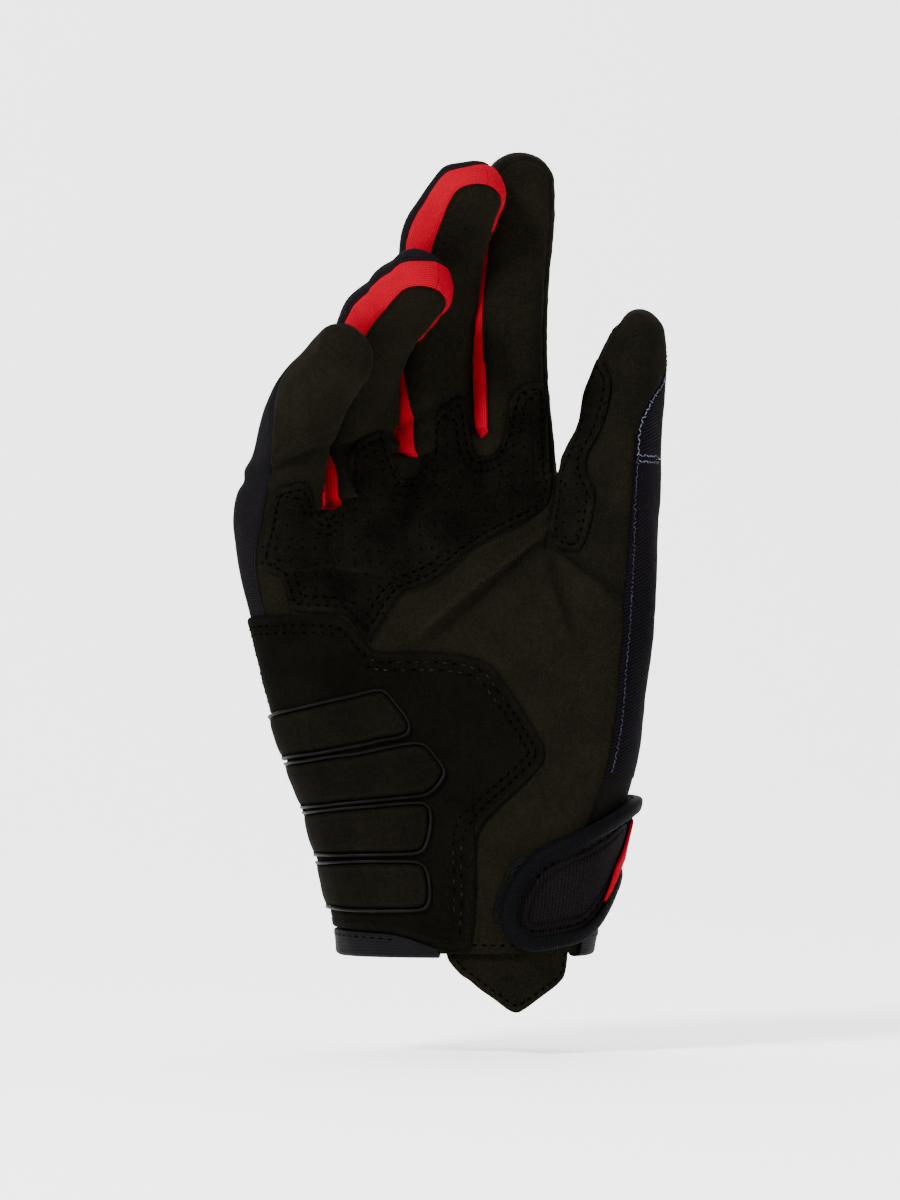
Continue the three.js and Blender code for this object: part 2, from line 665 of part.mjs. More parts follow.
// End faces of a sweep from the flat outline of its profile
function capEnds(sweep, stations, outline) {
  const flat = outline.map(([u, v]) => new THREE.Vector2(u, v));
  const last = (stations - 1) * outline.length;
  for (const [a, b, c] of THREE.ShapeUtils.triangulateShape(flat, [])) {
    sweep.triangles.push([a, b, c].reverse(), [a + last, b + last, c + last]);
  }
  if (THREE.ShapeUtils.isClockWise(flat)) {
    const ends = sweep.triangles.splice(sweep.triangles.length - 2 * (outline.length - 2));
    sweep.triangles.push(...ends.map((face) => face.reverse()));
  }
  return closedGeometry(sweep.points, sweep.triangles);
}

// Free edges stop half the seam gap short, as a share of a face and of a side wall
const FACE_ARC_SHARE = 0.104;
const WALL_ARC_SHARE = 0.3;
const faceTrim = SEAM_GAP / 2 / (FACE_ARC_SHARE * GLOVE_BREADTH);
const wallTrim = SEAM_GAP / 2 / (WALL_ARC_SHARE * WRIST_DEPTH);

const thumbSeamSides = column(THUMB_SEAM_ROWS, 0);
const thumbSeamHeights = column(THUMB_SEAM_ROWS, 1, GLOVE_LENGTH);
const twillFoot = TWILL_FOOT * GLOVE_LENGTH;
const twillSeam = TWILL_SEAM * GLOVE_LENGTH;
const littleWrap = LITTLE_WRAP_START * GLOVE_LENGTH;

function thumbSeam(side) {
  return curve(thumbSeamSides, thumbSeamHeights, side);
}

const thumbSeamRow = thumbSeam(-1) - THUMB_SEAM_GAP / 2;

function notchRows(web) {
  return NOTCH_SHARES.map((share) => webHeights[web] + share * WEBS[web].notch);
}

function spread(from, to, count) {
  return Array.from({ length: count + 1 }, (unused, i) => lerp(from, to, i / count));
}

// Rows shared by all columns up to the highest web
function listBodyRows() {
  const rows = BODY_ROWS.map((share) => share * GLOVE_LENGTH);
  rows.push(thumbSeamRow, thumbSeamRow + THUMB_SEAM_GAP, (thumbSeamRow + webHeights[LITTLE]) / 2);
  WEBS.forEach((web, i) => rows.push(webHeights[i] - SLIT_DEPTH, ...notchRows(i)));
  return rows.sort((a, b) => a - b);
}

const bodyRows = listBodyRows();

const thumbWrap = Math.max(...notchRows(INDEX));

// Heights at which the panels of a column have their rows, so that neighbours meet in the same places
function columnRows(k) {
  if (k === LITTLE) {
    const body = bodyRows.filter((row) => row < littleWrap - 1);
    return [...body, ...spread(littleWrap, bones[k].top, WRAP_ROWS)];
  }
  if (k === THUMB) {
    const body = bodyRows.filter((row) => row < thumbWrap - 1);
    return [...body, ...spread(thumbWrap, bones[k].top, WRAP_ROWS)];
  }
  return [...bodyRows, ...spread(bodyRows[bodyRows.length - 1], bones[k].top, FINGER_ROWS).slice(1)];
}

function below(rows, height) {
  return rows.filter((row) => row <= height);
}

// Insets of the two faces of a layer
function skin(thickness) {
  return { outer: 0, inner: thickness };
}

const palmSkin = skin(PALM_THICKNESS);
const backSkin = skin(BACK_THICKNESS);

// Grid of one face of a column. rows: heights or functions of the side; free: where the panel ends at a seam;
// tip: 'none', 'free' or 'joined' to the wall over the tip
function addFace(sheet, k, sign, layer, rows, free, tip) {
  const tipSeam = tip === 'joined' ? SEAM_SHARE : SEAM_SHARE * (1 - faceTrim);
  const caps = tip === 'none' ? [] : spread(0, Math.PI / 2, TIP_ROWS).slice(1);
  const list = rows.map((row) => ({ row, cap: 0 }));
  caps.forEach((turn) => list.push({ row: bones[k].top, cap: tipSeam * Math.sin(turn) }));
  sheet.grid(list.length - 1, FACE_CELLS, (i, j, outer) => {
    const { row, cap } = list[i];
    const side = (2 * j) / FACE_CELLS - 1;
    const height = typeof row === 'function' ? row(side) : row;
    const atTip = tip !== 'none' && height >= bones[k].top;
    const ends = Math.abs(side) === 1 && !atTip && free(side, height);
    const inset = outer ? layer.outer : layer.inner;
    return facePoint(k, ends ? side * (1 - faceTrim) : side, height, cap, inset, sign, atTip ? tipSeam : SEAM_SHARE);
  }, sign < 0);
}

function freeAboveWebs(k) {
  return (side, height) => {
    const web = side < 0 ? k - 1 : k;
    return web < 0 || web >= WEBS.length || height > webHeights[web];
  };
}

// Share of a side wall taken by the front panel, growing from the start height to the tip
const wrapEnd = 1 - 2 * wallTrim;
function wrapShare(k, start, height) {
  return smooth((height - start) / (bones[k].top - start)) * wrapEnd;
}

function addWrap(sheet, k, side, layer, start) {
  const rows = spread(start, bones[k].top, WRAP_ROWS);
  sheet.grid(WRAP_ROWS, OUTER_WALL_CELLS, (i, j, outer) => {
    const share = wrapShare(k, start, rows[i]) * j / OUTER_WALL_CELLS;
    return wallPoint(k, side, share, rows[i], outer ? layer.outer : layer.inner);
  }, side < 0);
  sheet.grid(2 * TIP_ROWS, OUTER_WALL_CELLS, (i, j, outer) => {
    const turn = (i / TIP_ROWS) * Math.PI / 2;
    return tipPoint(k, wrapEnd * j / OUTER_WALL_CELLS, turn, outer ? layer.outer : layer.inner);
  });
}

// Outer wall of a digit outside its wrap; its back edge is shared with the back face
function addOuterWall(sheet, k, side, layer, rows, start, trim = wallTrim) {
  sheet.grid(rows.length - 1, OUTER_WALL_CELLS, (i, j, outer) => {
    const wrapped = rows[i] > start ? wrapShare(k, start, rows[i]) + 2 * wallTrim : trim;
    const share = lerp(Math.min(Math.max(wrapped, trim), 1), 1, j / OUTER_WALL_CELLS);
    return wallPoint(k, side, share, rows[i], outer ? layer.outer : layer.inner);
  }, side < 0);
}

function makePalmPanel() {
  const sheet = new Sheet();
  const littleRows = columnRows(LITTLE);
  const littleFree = (side, height) => (side < 0 ? height < littleWrap : height > webHeights[LITTLE]);
  addFace(sheet, LITTLE, 1, palmSkin, littleRows, littleFree, 'joined');
  addWrap(sheet, LITTLE, -1, palmSkin, littleWrap);
  addFace(sheet, RING, 1, palmSkin, columnRows(RING), freeAboveWebs(RING), 'free');
  addFace(sheet, MIDDLE, 1, palmSkin, columnRows(MIDDLE), freeAboveWebs(MIDDLE), 'free');
  const indexFree = (side, height) => (side > 0 ? height > thumbSeamRow : height > webHeights[MIDDLE]);
  addFace(sheet, INDEX, 1, palmSkin, columnRows(INDEX), indexFree, 'free');
  const stretch = (height) => (side) => height * (thumbSeam(side) - THUMB_SEAM_GAP / 2) / thumbSeamRow;
  const thumbRows = below(bodyRows, thumbSeamRow).map(stretch);
  addFace(sheet, THUMB, 1, palmSkin, thumbRows, (side) => side > 0, 'none');
  return sheet.geometry();
}

function makeThumbFront() {
  const sheet = new Sheet();
  const seamRow = (share) => (side) => lerp(thumbSeam(side) + THUMB_SEAM_GAP / 2, webHeights[INDEX], share);
  const rows = spread(0, 1, SEAM_ROWS).map(seamRow);
  rows.push(notchRows(INDEX)[0]);
  rows.push(...spread(thumbWrap, bones[THUMB].top, WRAP_ROWS));
  addFace(sheet, THUMB, 1, palmSkin, rows, (side, height) => side < 0 || height < thumbWrap, 'joined');
  addWrap(sheet, THUMB, 1, palmSkin, thumbWrap);
  return sheet.geometry();
}

function makeBackPanel() {
  const sheet = new Sheet();
  const littleRows = columnRows(LITTLE);
  const littleFree = (side, height) => side > 0 && height > webHeights[LITTLE];
  addFace(sheet, LITTLE, -1, backSkin, littleRows, littleFree, 'free');
  addOuterWall(sheet, LITTLE, -1, backSkin, littleRows, littleWrap);
  for (const k of [RING, MIDDLE, INDEX]) {
    addFace(sheet, k, -1, backSkin, columnRows(k), freeAboveWebs(k), 'free');
  }
  const thumbRows = [...below(bodyRows, twillSeam - 2 * SEAM_GAP), twillSeam - SEAM_GAP / 2];
  addFace(sheet, THUMB, -1, backSkin, thumbRows, (side, height) => side > 0 || height > webHeights[INDEX], 'none');
  return sheet.geometry();
}

// Twill of the thumb above its seam: outer wall and back of the thumb
function makeThumbOuterUpper() {
  const sheet = new Sheet();
  const rows = [twillSeam + SEAM_GAP / 2, ...spread(thumbWrap, bones[THUMB].top, WRAP_ROWS)];
  addOuterWall(sheet, THUMB, 1, backSkin, rows, thumbWrap);
  addFace(sheet, THUMB, -1, backSkin, rows, (side) => side < 0, 'free');
  return sheet.geometry();
}

function makeOuterWallPanel(from, to, thickness, recess) {
  const sheet = new Sheet();
  const rows = [from, ...bodyRows.filter((row) => row > from + 1 && row < to - 1), to];
  sheet.grid(rows.length - 1, OUTER_WALL_CELLS, (i, j, outer) => {
    const share = lerp(wallTrim, 1 - wallTrim, j / OUTER_WALL_CELLS);
    return wallPoint(THUMB, 1, share, rows[i], outer ? recess : recess + thickness);
  });
  return sheet.geometry();
}

// Edge gap of a strip at the web, in seam gaps
const WEB_TRIM = 6;

// Strip between two digits: over part of the tip of the first, down its side, round the web,
// up the side of the second and over part of its tip
function makeWebStrip(first, firstTip, secondTip) {
  const web = first;
  const second = first + 1;
  const trim = SEAM_GAP / 2 / (bones[first].tip);
  const stations = [];
  const notchTop = Math.max(...notchRows(web));
  const climb = (k) => columnRows(k).filter((row) => row >= notchTop);
  if (firstTip > 0) {
    const turns = spread(firstTip - trim, 0, Math.max(Math.round(firstTip / Math.PI * 2 * TIP_ROWS), 1));
    turns.slice(0, -1).forEach((turn) => stations.push({ k: first, turn }));
  }
  const firstTop = firstTip > 0 ? 0 : SEAM_GAP / 2;
  climb(first).reverse().forEach((height, i) => {
    stations.push({ k: first, side: 1, height: i === 0 ? height - firstTop : height });
  });
  stations.push({ k: first, side: 1, height: notchRows(web)[0] });
  stations.push({ k: first, side: 1, height: webHeights[web] });
  stations.push({ k: second, side: -1, height: notchRows(web)[0] });
  const secondTop = secondTip > 0 ? 0 : SEAM_GAP / 2;
  climb(second).forEach((height, i, heights) => {
    stations.push({ k: second, side: -1, height: i === heights.length - 1 ? height - secondTop : height });
  });
  if (secondTip > 0) {
    const turns = spread(Math.PI, Math.PI - secondTip + trim, Math.max(Math.round(secondTip / Math.PI * 2 * TIP_ROWS), 1));
    turns.slice(1).forEach((turn) => stations.push({ k: second, turn }));
  }
  const sheet = new Sheet();
  sheet.grid(stations.length - 1, WALL_CELLS, (i, j, outer) => {
    const station = stations[i];
    const atWeb = station.height <= notchRows(web)[0];
    const edge = atWeb ? WEB_TRIM * wallTrim : wallTrim;
    const share = lerp(edge, 1 - edge, j / WALL_CELLS);
    const inset = outer ? 0 : STRIP_THICKNESS;
    if (station.turn !== undefined) {
      return tipPoint(station.k, share, station.turn, inset);
    }
    return wallPoint(station.k, station.side, share, station.height, inset);
  }, true);
  return sheet.geometry();
}

// Layers above the skin: depth of the lower face of each layer
const patchBase = -LAYER_GAP;
const patchTop = patchBase - PATCH_THICKNESS;
const padBase = patchTop - LAYER_GAP;
const strapBase = patchBase - HOOK_THICKNESS - LAYER_GAP;
const strapTop = strapBase - STRAP_THICKNESS;
const strapCoverBase = strapTop - STRAP_COVER_GAP;

// Patch between a lower and an upper edge along a table
function makeBand(rows, cells, point, base, thickness) {
  const sheet = new Sheet();
  sheet.grid(rows.length - 1, cells, (i, j, outer) => {
    const [place, low, high] = rows[i];
    return point(place, lerp(low, high, j / cells), outer ? base - thickness : base);
  });
  return sheet.geometry();
}

function ringRows(table) {
  return table.map(([turn, low, high]) => [turn, low * GLOVE_LENGTH, high * GLOVE_LENGTH]);
}

// Rows of a table and, between them, rows at the turns of another table
function withTurns(rows, others) {
  const turns = column(rows, 0);
  const [first, last] = [turns[0], turns[turns.length - 1]];
  const added = column(others, 0).filter((turn) => turn < first && turn > last && !turns.includes(turn));
  const back = [...rows].reverse();
  const at = (turn, index) => straight(column(back, 0), column(back, index), turn);
  const all = [...rows, ...added.map((turn) => [turn, at(turn, 1), at(turn, 2)])];
  return all.sort((a, b) => b[0] - a[0]);
}

const strapRows = withTurns(ringRows(WRIST_STRAP), RED_PANEL);

function makeThumbPatch() {
  const rows = THUMB_PATCH.map(([height, left, right]) => [height * GLOVE_LENGTH, left, right]);
  const point = (height, place, inset) => palmPoint(place, height, inset);
  return makeBand(rows, 2, point, patchBase, PATCH_THICKNESS);
}

const kernel = await createKernel();
kernel.setup();

function toSolid(geometry) {
  return new kernel.Manifold(new kernel.Mesh({
    numProp: 3,
    vertProperties: new Float32Array(geometry.attributes.position.array),
    triVerts: new Uint32Array(geometry.index.array),
  }));
}

// Facets that differ less than this are one after a cut
const CUT_TOLERANCE = 0.15;

function toGeometry(solid) {
  const mesh = solid.simplify(CUT_TOLERANCE).getMesh();
  const geometry = new THREE.BufferGeometry();
  geometry.setAttribute('position', new THREE.Float32BufferAttribute(mesh.vertProperties, 3));
  geometry.setIndex(Array.from(mesh.triVerts));
  geometry.computeVertexNormals();
  return geometry;
}

// Straight prism along Y over an outline of [x, z] points
const PRISM_FRONT = -2 * WRIST_DEPTH;
function makePrism(outline, rear) {
  const flat = outline.map(([x, z]) => new THREE.Vector2(x, z));
  const count = outline.length;
  const points = [PRISM_FRONT, rear].flatMap((y) => outline.map(([x, z]) => new THREE.Vector3(x, y, z)));
  const ends = THREE.ShapeUtils.triangulateShape(flat, []);
  const anticlockwise = !THREE.ShapeUtils.isClockWise(flat);
  const triangles = [];
  for (const [a, b, c] of ends) {
    triangles.push([a, b, c], [c + count, b + count, a + count]);
  }
  for (let i = 0; i < count; i += 1) {
    const next = (i + 1) % count;
    const [from, to] = anticlockwise ? [i, next] : [next, i];
    triangles.push([to, from, from + count], [to, from + count, to + count]);
  }
  return toSolid(closedGeometry(points, triangles));
}

// Outline moved inwards by a distance, every corner along the mean of its two sides
function insetOutline(outline, distance) {
  const count = outline.length;
  let area = 0;
  outline.forEach(([x, z], i) => {
    const [nextX, nextZ] = outline[(i + 1) % count];
    area += x * nextZ - nextX * z;
  });
  const turn = Math.sign(area);
  return outline.map(([x, z], i) => {
    const before = outline[(i + count - 1) % count];
    const after = outline[(i + 1) % count];
    const first = new THREE.Vector2(x - before[0], z - before[1]).normalize();
    const second = new THREE.Vector2(after[0] - x, after[1] - z).normalize();
    const mean = first.clone().add(second).normalize();
    const stretch = 1 / Math.max(mean.dot(first), 0.5);
    return [x - turn * mean.y * distance * stretch, z + turn * mean.x * distance * stretch];
  });
}

// Outline of a table seen from the front; past the last turn it runs on beyond the little-finger side
const EDGE_TURN = 165;
const BEYOND_EDGE = 0.2 * GLOVE_BREADTH;
function frontOutline(rows, point, inset, open) {
  const kept = open ? rows.filter(([turn]) => turn <= EDGE_TURN) : rows;
  const low = kept.map(([place, height]) => point(place, height, inset));
  const high = kept.map(([place, unused, height]) => point(place, height, inset));
  const outline = [...low, ...high.reverse()].map((spot) => [spot.x, spot.z]);
  if (open) {
    const [lowStart, highStart] = [low[0], high[high.length - 1]];
    outline.push([highStart.x - BEYOND_EDGE, highStart.z], [lowStart.x - BEYOND_EDGE, lowStart.z]);
  }
  return outline;
}

// Slab parallel to the palm panel with the same facets, cut to an outline
const LAYER_TOP = 0.76 * GLOVE_LENGTH;
const HEEL_REAR = 0.05 * WRIST_DEPTH;
function makeLayer(base, thickness) {
  const sheet = new Sheet();
  const layer = { outer: base - thickness, inner: base };
  for (const k of [LITTLE, RING, MIDDLE, INDEX]) {
    const rows = below(columnRows(k), LAYER_TOP);
    const free = (side, height) => (k > LITTLE || side > 0) && freeAboveWebs(k)(side, height);
    addFace(sheet, k, 1, layer, rows, free, 'none');
  }
  const wallRows = below(columnRows(LITTLE), LAYER_TOP);
  addOuterWall(sheet, LITTLE, -1, layer, wallRows, GLOVE_LENGTH, 0);
  return toSolid(sheet.geometry());
}

const patchLayer = makeLayer(patchBase, PATCH_THICKNESS);
const padLayer = makeLayer(padBase, PAD_HEIGHT);
const rimLayer = makeLayer(padBase, RIM_HEIGHT);

function cutLayer(layer, outline, rear) {
  return toGeometry(layer.intersect(makePrism(outline, rear)));
}

function makePalmPatch() {
  return cutLayer(patchLayer, frontOutline(ringRows(PALM_PATCH), palmPoint, patchTop, false), HEEL_REAR);
}

function makeHeelPatch() {
  return cutLayer(patchLayer, frontOutline(ringRows(HEEL_PATCH), ringPoint, patchTop, true), HEEL_REAR);
}

function padOutline(table) {
  return frontOutline(ringRows(table), ringPoint, padBase, true);
}

function makeHeelPad(table) {
  return cutLayer(padLayer, insetOutline(padOutline(table), RIM_WIDTH / 2 + RIM_GAP), HEEL_REAR);
}

function makePadRim(table) {
  const outer = makePrism(insetOutline(padOutline(table), -RIM_WIDTH / 2), HEEL_REAR);
  const inner = makePrism(insetOutline(padOutline(table), RIM_WIDTH / 2), HEEL_REAR + WRIST_DEPTH);
  return toGeometry(rimLayer.intersect(outer).subtract(inner));
}

// Bead or edging along a path on the hand; profile points are [sideways, upwards]
function makeEdging(path, profile, base) {
  const step = 0.02;
  const spots = path.map(([turn, height]) => ringPoint(turn, height, base));
  const frames = path.map(([turn, height], i) => {
    const before = spots[Math.max(i - 1, 0)];
    const after = spots[Math.min(i + 1, spots.length - 1)];
    const along = after.clone().sub(before).normalize();
    const up = ringPoint(turn, height, base - 1);
    const across = ringPoint(turn + step, height, base).sub(ringPoint(turn - step, height, base));
    const rise = ringPoint(turn, height + step, base).sub(ringPoint(turn, height - step, base));
    const normal = across.cross(rise).normalize();
    normal.multiplyScalar(Math.sign(normal.dot(up.sub(spots[i]))));
    const side = new THREE.Vector3().crossVectors(along, normal).normalize();
    return { normal, side };
  });
  const sweep = sweepGeometry(path.length, profile.length, (i, j) => {
    const [sideways, upwards] = profile[j];
    return spots[i].clone().addScaledVector(frames[i].side, sideways).addScaledVector(frames[i].normal, upwards);
  });
  return capEnds(sweep, path.length, profile);
}

// Folded binding round the cuff: outer leg, fold under the edge, inner leg
function makeCuffBinding() {
  const turns = column(CUFF_BINDING_ROWS, 0);
  const tops = column(CUFF_BINDING_ROWS, 1, GLOVE_LENGTH);
  const innerFace = PALM_THICKNESS + CUFF_INNER_GAP;
  const outerFace = -LAYER_GAP;
  const profile = (top) => [
    [outerFace - BINDING_THICKNESS, top],
    [outerFace - BINDING_THICKNESS, -CUFF_BINDING_DEPTH],
    [innerFace + BINDING_THICKNESS, -CUFF_BINDING_DEPTH],
    [innerFace + BINDING_THICKNESS, top],
    [innerFace, top],
    [innerFace, BINDING_THICKNESS - CUFF_BINDING_DEPTH],
    [outerFace, BINDING_THICKNESS - CUFF_BINDING_DEPTH],
    [outerFace, top],
  ];
  const outline = profile(1);
  const stations = spread(turns[0], turns[turns.length - 1], CUFF_BINDING_STEPS);
  const sweep = sweepGeometry(stations.length, outline.length, (i, j) => {
    const [inset, height] = profile(straight(turns, tops, stations[i]))[j];
    return ringPoint(stations[i], height, inset);
  });
  return capEnds(sweep, stations.length, outline);
}

function makeStrapBinding() {
  const rows = [...strapRows].reverse();
  const path = rows.map(([turn, low]) => [turn, low]);
  path.push(...rows.map(([turn, low, high]) => [turn, high]).reverse());
  const edge = STRAP_EDGE_GAP;
  const outer = edge + BINDING_THICKNESS;
  const under = STRAP_THICKNESS + STRAP_COVER_GAP;
  const profile = [
    [-outer, under + BINDING_THICKNESS],
    [-outer, 0],
    [-edge, 0],
    [-edge, under],
    [STRAP_BINDING_WIDTH, under],
    [STRAP_BINDING_WIDTH, under + BINDING_THICKNESS],
  ];
  return makeEdging(path, profile, strapBase);
}

function addPart(group, name, geometry, material) {
  const mesh = new THREE.Mesh(toGeometry(toSolid(geometry)), new THREE.MeshStandardMaterial(MATERIALS[material]));
  mesh.name = name;
  group.add(mesh);
}

function makeGlove() {
  const group = new THREE.Group();
  const quarter = Math.PI / 2;
  addPart(group, 'palm_panel', makePalmPanel(), 'suede');
  addPart(group, 'back_panel', makeBackPanel(), 'stretch');
  addPart(group, 'fourchette_ring_little', makeWebStrip(LITTLE, 0, quarter), 'red');
  addPart(group, 'fourchette_middle_ring', makeWebStrip(RING, quarter, quarter), 'red');
  addPart(group, 'fourchette_index_middle', makeWebStrip(MIDDLE, quarter, 0), 'red');
  addPart(group, 'index_thumb_strip', makeWebStrip(INDEX, Math.PI, 0), 'suede');
  addPart(group, 'thumb_front', makeThumbFront(), 'suede');
  addPart(group, 'thumb_outer_upper', makeThumbOuterUpper(), 'twill');
  const lower = makeOuterWallPanel(twillFoot, twillSeam - SEAM_GAP / 2, BACK_THICKNESS, 0);
  addPart(group, 'thumb_outer_lower', lower, 'twill');
  const gusset = makeOuterWallPanel(0, twillFoot - SEAM_GAP, GUSSET_THICKNESS, GUSSET_RECESS);
  addPart(group, 'wrist_gusset', gusset, 'gusset');
  addPart(group, 'palm_patch', makePalmPatch(), 'suedePatch');
  addPart(group, 'thumb_patch', makeThumbPatch(), 'suedePatch');
  addPart(group, 'heel_patch', makeHeelPatch(), 'suedeHeel');
  HEEL_PADS.forEach((table, i) => {
    addPart(group, `heel_pad_${i + 1}`, makeHeelPad(table), 'pad');
    addPart(group, `pad_rim_${i + 1}`, makePadRim(table), 'rim');
  });
  addPart(group, 'cuff_binding', makeCuffBinding(), 'cuff');
  const tabFace = PALM_THICKNESS + CUFF_INNER_GAP;
  const tab = makeBand(ringRows(PULL_TAB), 2, ringPoint, tabFace + TAB_THICKNESS, TAB_THICKNESS);
  addPart(group, 'pull_tab', tab, 'suede');
  const hook = makeBand(ringRows(HOOK_PATCH), 2, ringPoint, patchBase, HOOK_THICKNESS);
  addPart(group, 'strap_hook', hook, 'hook');
  const strap = makeBand(strapRows, 4, ringPoint, strapBase, STRAP_THICKNESS);
  addPart(group, 'wrist_strap', strap, 'strap');
  addPart(group, 'strap_binding', makeStrapBinding(), 'binding');
  const redRows = withTurns(ringRows(RED_PANEL), WRIST_STRAP);
  const red = makeBand(redRows, 2, ringPoint, strapCoverBase, RED_PANEL_THICKNESS);
  addPart(group, 'strap_red_panel', red, 'red');
  return group;
}

export default makeGlove();
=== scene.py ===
import math
import bpy
import numpy as np
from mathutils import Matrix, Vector


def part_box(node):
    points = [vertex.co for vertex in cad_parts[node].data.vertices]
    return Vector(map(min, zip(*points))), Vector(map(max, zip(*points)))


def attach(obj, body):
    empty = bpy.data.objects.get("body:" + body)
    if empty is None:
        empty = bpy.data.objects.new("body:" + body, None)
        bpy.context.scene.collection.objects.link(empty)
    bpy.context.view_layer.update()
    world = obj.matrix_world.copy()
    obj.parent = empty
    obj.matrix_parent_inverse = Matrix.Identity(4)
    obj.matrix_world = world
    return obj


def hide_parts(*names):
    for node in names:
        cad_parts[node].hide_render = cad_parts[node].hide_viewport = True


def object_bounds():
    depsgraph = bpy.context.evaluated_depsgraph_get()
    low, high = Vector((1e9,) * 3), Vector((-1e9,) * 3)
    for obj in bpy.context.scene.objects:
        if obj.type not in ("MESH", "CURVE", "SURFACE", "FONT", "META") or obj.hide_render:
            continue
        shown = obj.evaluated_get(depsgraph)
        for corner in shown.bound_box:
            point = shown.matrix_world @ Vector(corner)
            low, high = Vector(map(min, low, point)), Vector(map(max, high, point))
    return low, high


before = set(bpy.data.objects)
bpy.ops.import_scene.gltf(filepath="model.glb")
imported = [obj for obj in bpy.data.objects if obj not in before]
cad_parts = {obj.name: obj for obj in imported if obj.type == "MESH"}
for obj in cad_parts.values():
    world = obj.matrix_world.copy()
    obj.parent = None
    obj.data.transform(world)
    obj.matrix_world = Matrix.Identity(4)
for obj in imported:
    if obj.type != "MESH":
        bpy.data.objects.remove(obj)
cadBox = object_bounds()
print("glove: frame loaded")

# Lengths below are in millimetres, heights and places mostly shares of the three sizes here.
# +X is the thumb side, +Z the fingertips, the palm faces -Y.
mm = 0.001
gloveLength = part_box("index_thumb_strip")[1][2] / mm
gloveBreadth = 0.53234 * gloveLength
wristDepth = 0.21997 * gloveLength

little, ring, middle, index, thumb = range(5)
section = {"power": 2.5, "seam": 0.8, "tipRounding": 0.95}

# joints of each digit: x, y, z, half width and half depth, as shares of the breadth (x, half width),
# of the wrist depth (y, half depth) and of the length (z)
digits = [
    {"swing": 28, "blend": 0.132, "joints": [
        [-0.463, -0.100, 0.422, 0.0926, 0.210], [-0.456, -0.190, 0.528, 0.0926, 0.210],
        [-0.433, -0.340, 0.601, 0.0876, 0.204], [-0.383, -0.560, 0.675, 0.0860, 0.198],
        [-0.324, -0.760, 0.724, 0.0810, 0.186], [-0.256, -0.920, 0.755, 0.0711, 0.170]]},
    {"swing": 33, "blend": 0.141, "joints": [
        [-0.266, -0.030, 0.440, 0.0860, 0.216], [-0.261, -0.060, 0.563, 0.0876, 0.212],
        [-0.280, -0.160, 0.678, 0.0885, 0.208], [-0.221, -0.390, 0.766, 0.0885, 0.200],
        [-0.147, -0.590, 0.812, 0.0845, 0.190], [-0.074, -0.760, 0.847, 0.0744, 0.172]]},
    {"swing": 30, "blend": 0.141, "joints": [
        [-0.083, 0.010, 0.458, 0.0860, 0.216], [-0.079, 0.010, 0.616, 0.0876, 0.212],
        [-0.093, -0.020, 0.757, 0.0885, 0.206], [-0.068, -0.170, 0.858, 0.0915, 0.200],
        [-0.021, -0.340, 0.928, 0.0880, 0.190], [0.036, -0.480, 0.977, 0.0777, 0.172]]},
    {"swing": 10, "blend": 0.15, "joints": [
        [0.094, 0.000, 0.458, 0.0860, 0.212], [0.101, 0.000, 0.625, 0.0851, 0.208],
        [0.102, 0.000, 0.757, 0.0868, 0.204], [0.110, 0.010, 0.867, 0.0884, 0.198],
        [0.115, 0.005, 0.941, 0.0860, 0.190], [0.117, -0.010, 1.000, 0.0777, 0.172]]},
    {"swing": -28, "blend": 0.158, "joints": [
        [0.319, -0.240, 0.422, 0.1174, 0.270], [0.332, -0.260, 0.550, 0.1140, 0.250],
        [0.346, -0.270, 0.638, 0.1066, 0.232], [0.360, -0.300, 0.695, 0.0983, 0.220],
        [0.379, -0.330, 0.752, 0.0793, 0.192], [0.385, -0.360, 0.802, 0.0612, 0.152]]},
]
webs = np.array([[0.562, 3.2], [0.614, 3.2], [0.643, 3.2], [0.590, 15.0]])  # height share, notch height
webHeights = webs[:, 0] * gloveLength
columnEdges = np.array([0, 0.207, 0.382, 0.564, 0.762, 1])

# height, left and right edge, cupping, palm seam on the left and on the right
outlineRows = np.array([
    [-0.088, -0.298, 0.281, 0.00, 0.93, 0.72], [0.000, -0.306, 0.285, 0.05, 0.93, 0.76],
    [0.062, -0.322, 0.312, 0.20, 0.93, 0.78], [0.123, -0.349, 0.332, 0.45, 0.93, 0.80],
    [0.185, -0.382, 0.358, 0.70, 0.93, 0.83], [0.246, -0.424, 0.382, 0.90, 0.93, 0.86],
    [0.312, -0.465, 0.402, 1.00, 0.93, 0.86], [0.378, -0.496, 0.419, 1.00, 0.93, 0.86],
    [0.440, -0.527, 0.431, 1.00, 0.93, 0.86], [0.502, -0.548, 0.440, 1.00, 0.93, 0.86],
    [0.554, -0.555, 0.446, 1.00, 0.93, 0.86], [0.616, -0.550, 0.451, 1.00, 0.93, 0.86]])
cupShares = np.array([-0.14, -0.05, 0.01, -0.02, -0.24])
# depth of the palm side and of the back side: height, then one share for each column
frontRows = np.array([
    [-0.088, 0.48, 0.50, 0.50, 0.50, 0.48], [0.000, 0.48, 0.50, 0.50, 0.50, 0.48],
    [0.123, 0.48, 0.46, 0.42, 0.44, 0.48], [0.246, 0.42, 0.34, 0.30, 0.36, 0.46],
    [0.378, 0.34, 0.26, 0.24, 0.28, 0.36], [0.502, 0.29, 0.25, 0.25, 0.25, 0.30],
    [0.616, 0.26, 0.24, 0.24, 0.24, 0.28]])
rearRows = np.array([
    [-0.088, 0.44, 0.48, 0.48, 0.48, 0.44], [0.000, 0.44, 0.48, 0.48, 0.48, 0.44],
    [0.123, 0.40, 0.44, 0.42, 0.40, 0.40], [0.246, 0.36, 0.38, 0.36, 0.34, 0.38],
    [0.378, 0.32, 0.34, 0.32, 0.30, 0.36], [0.502, 0.28, 0.30, 0.30, 0.28, 0.30],
    [0.616, 0.26, 0.28, 0.28, 0.27, 0.28]])
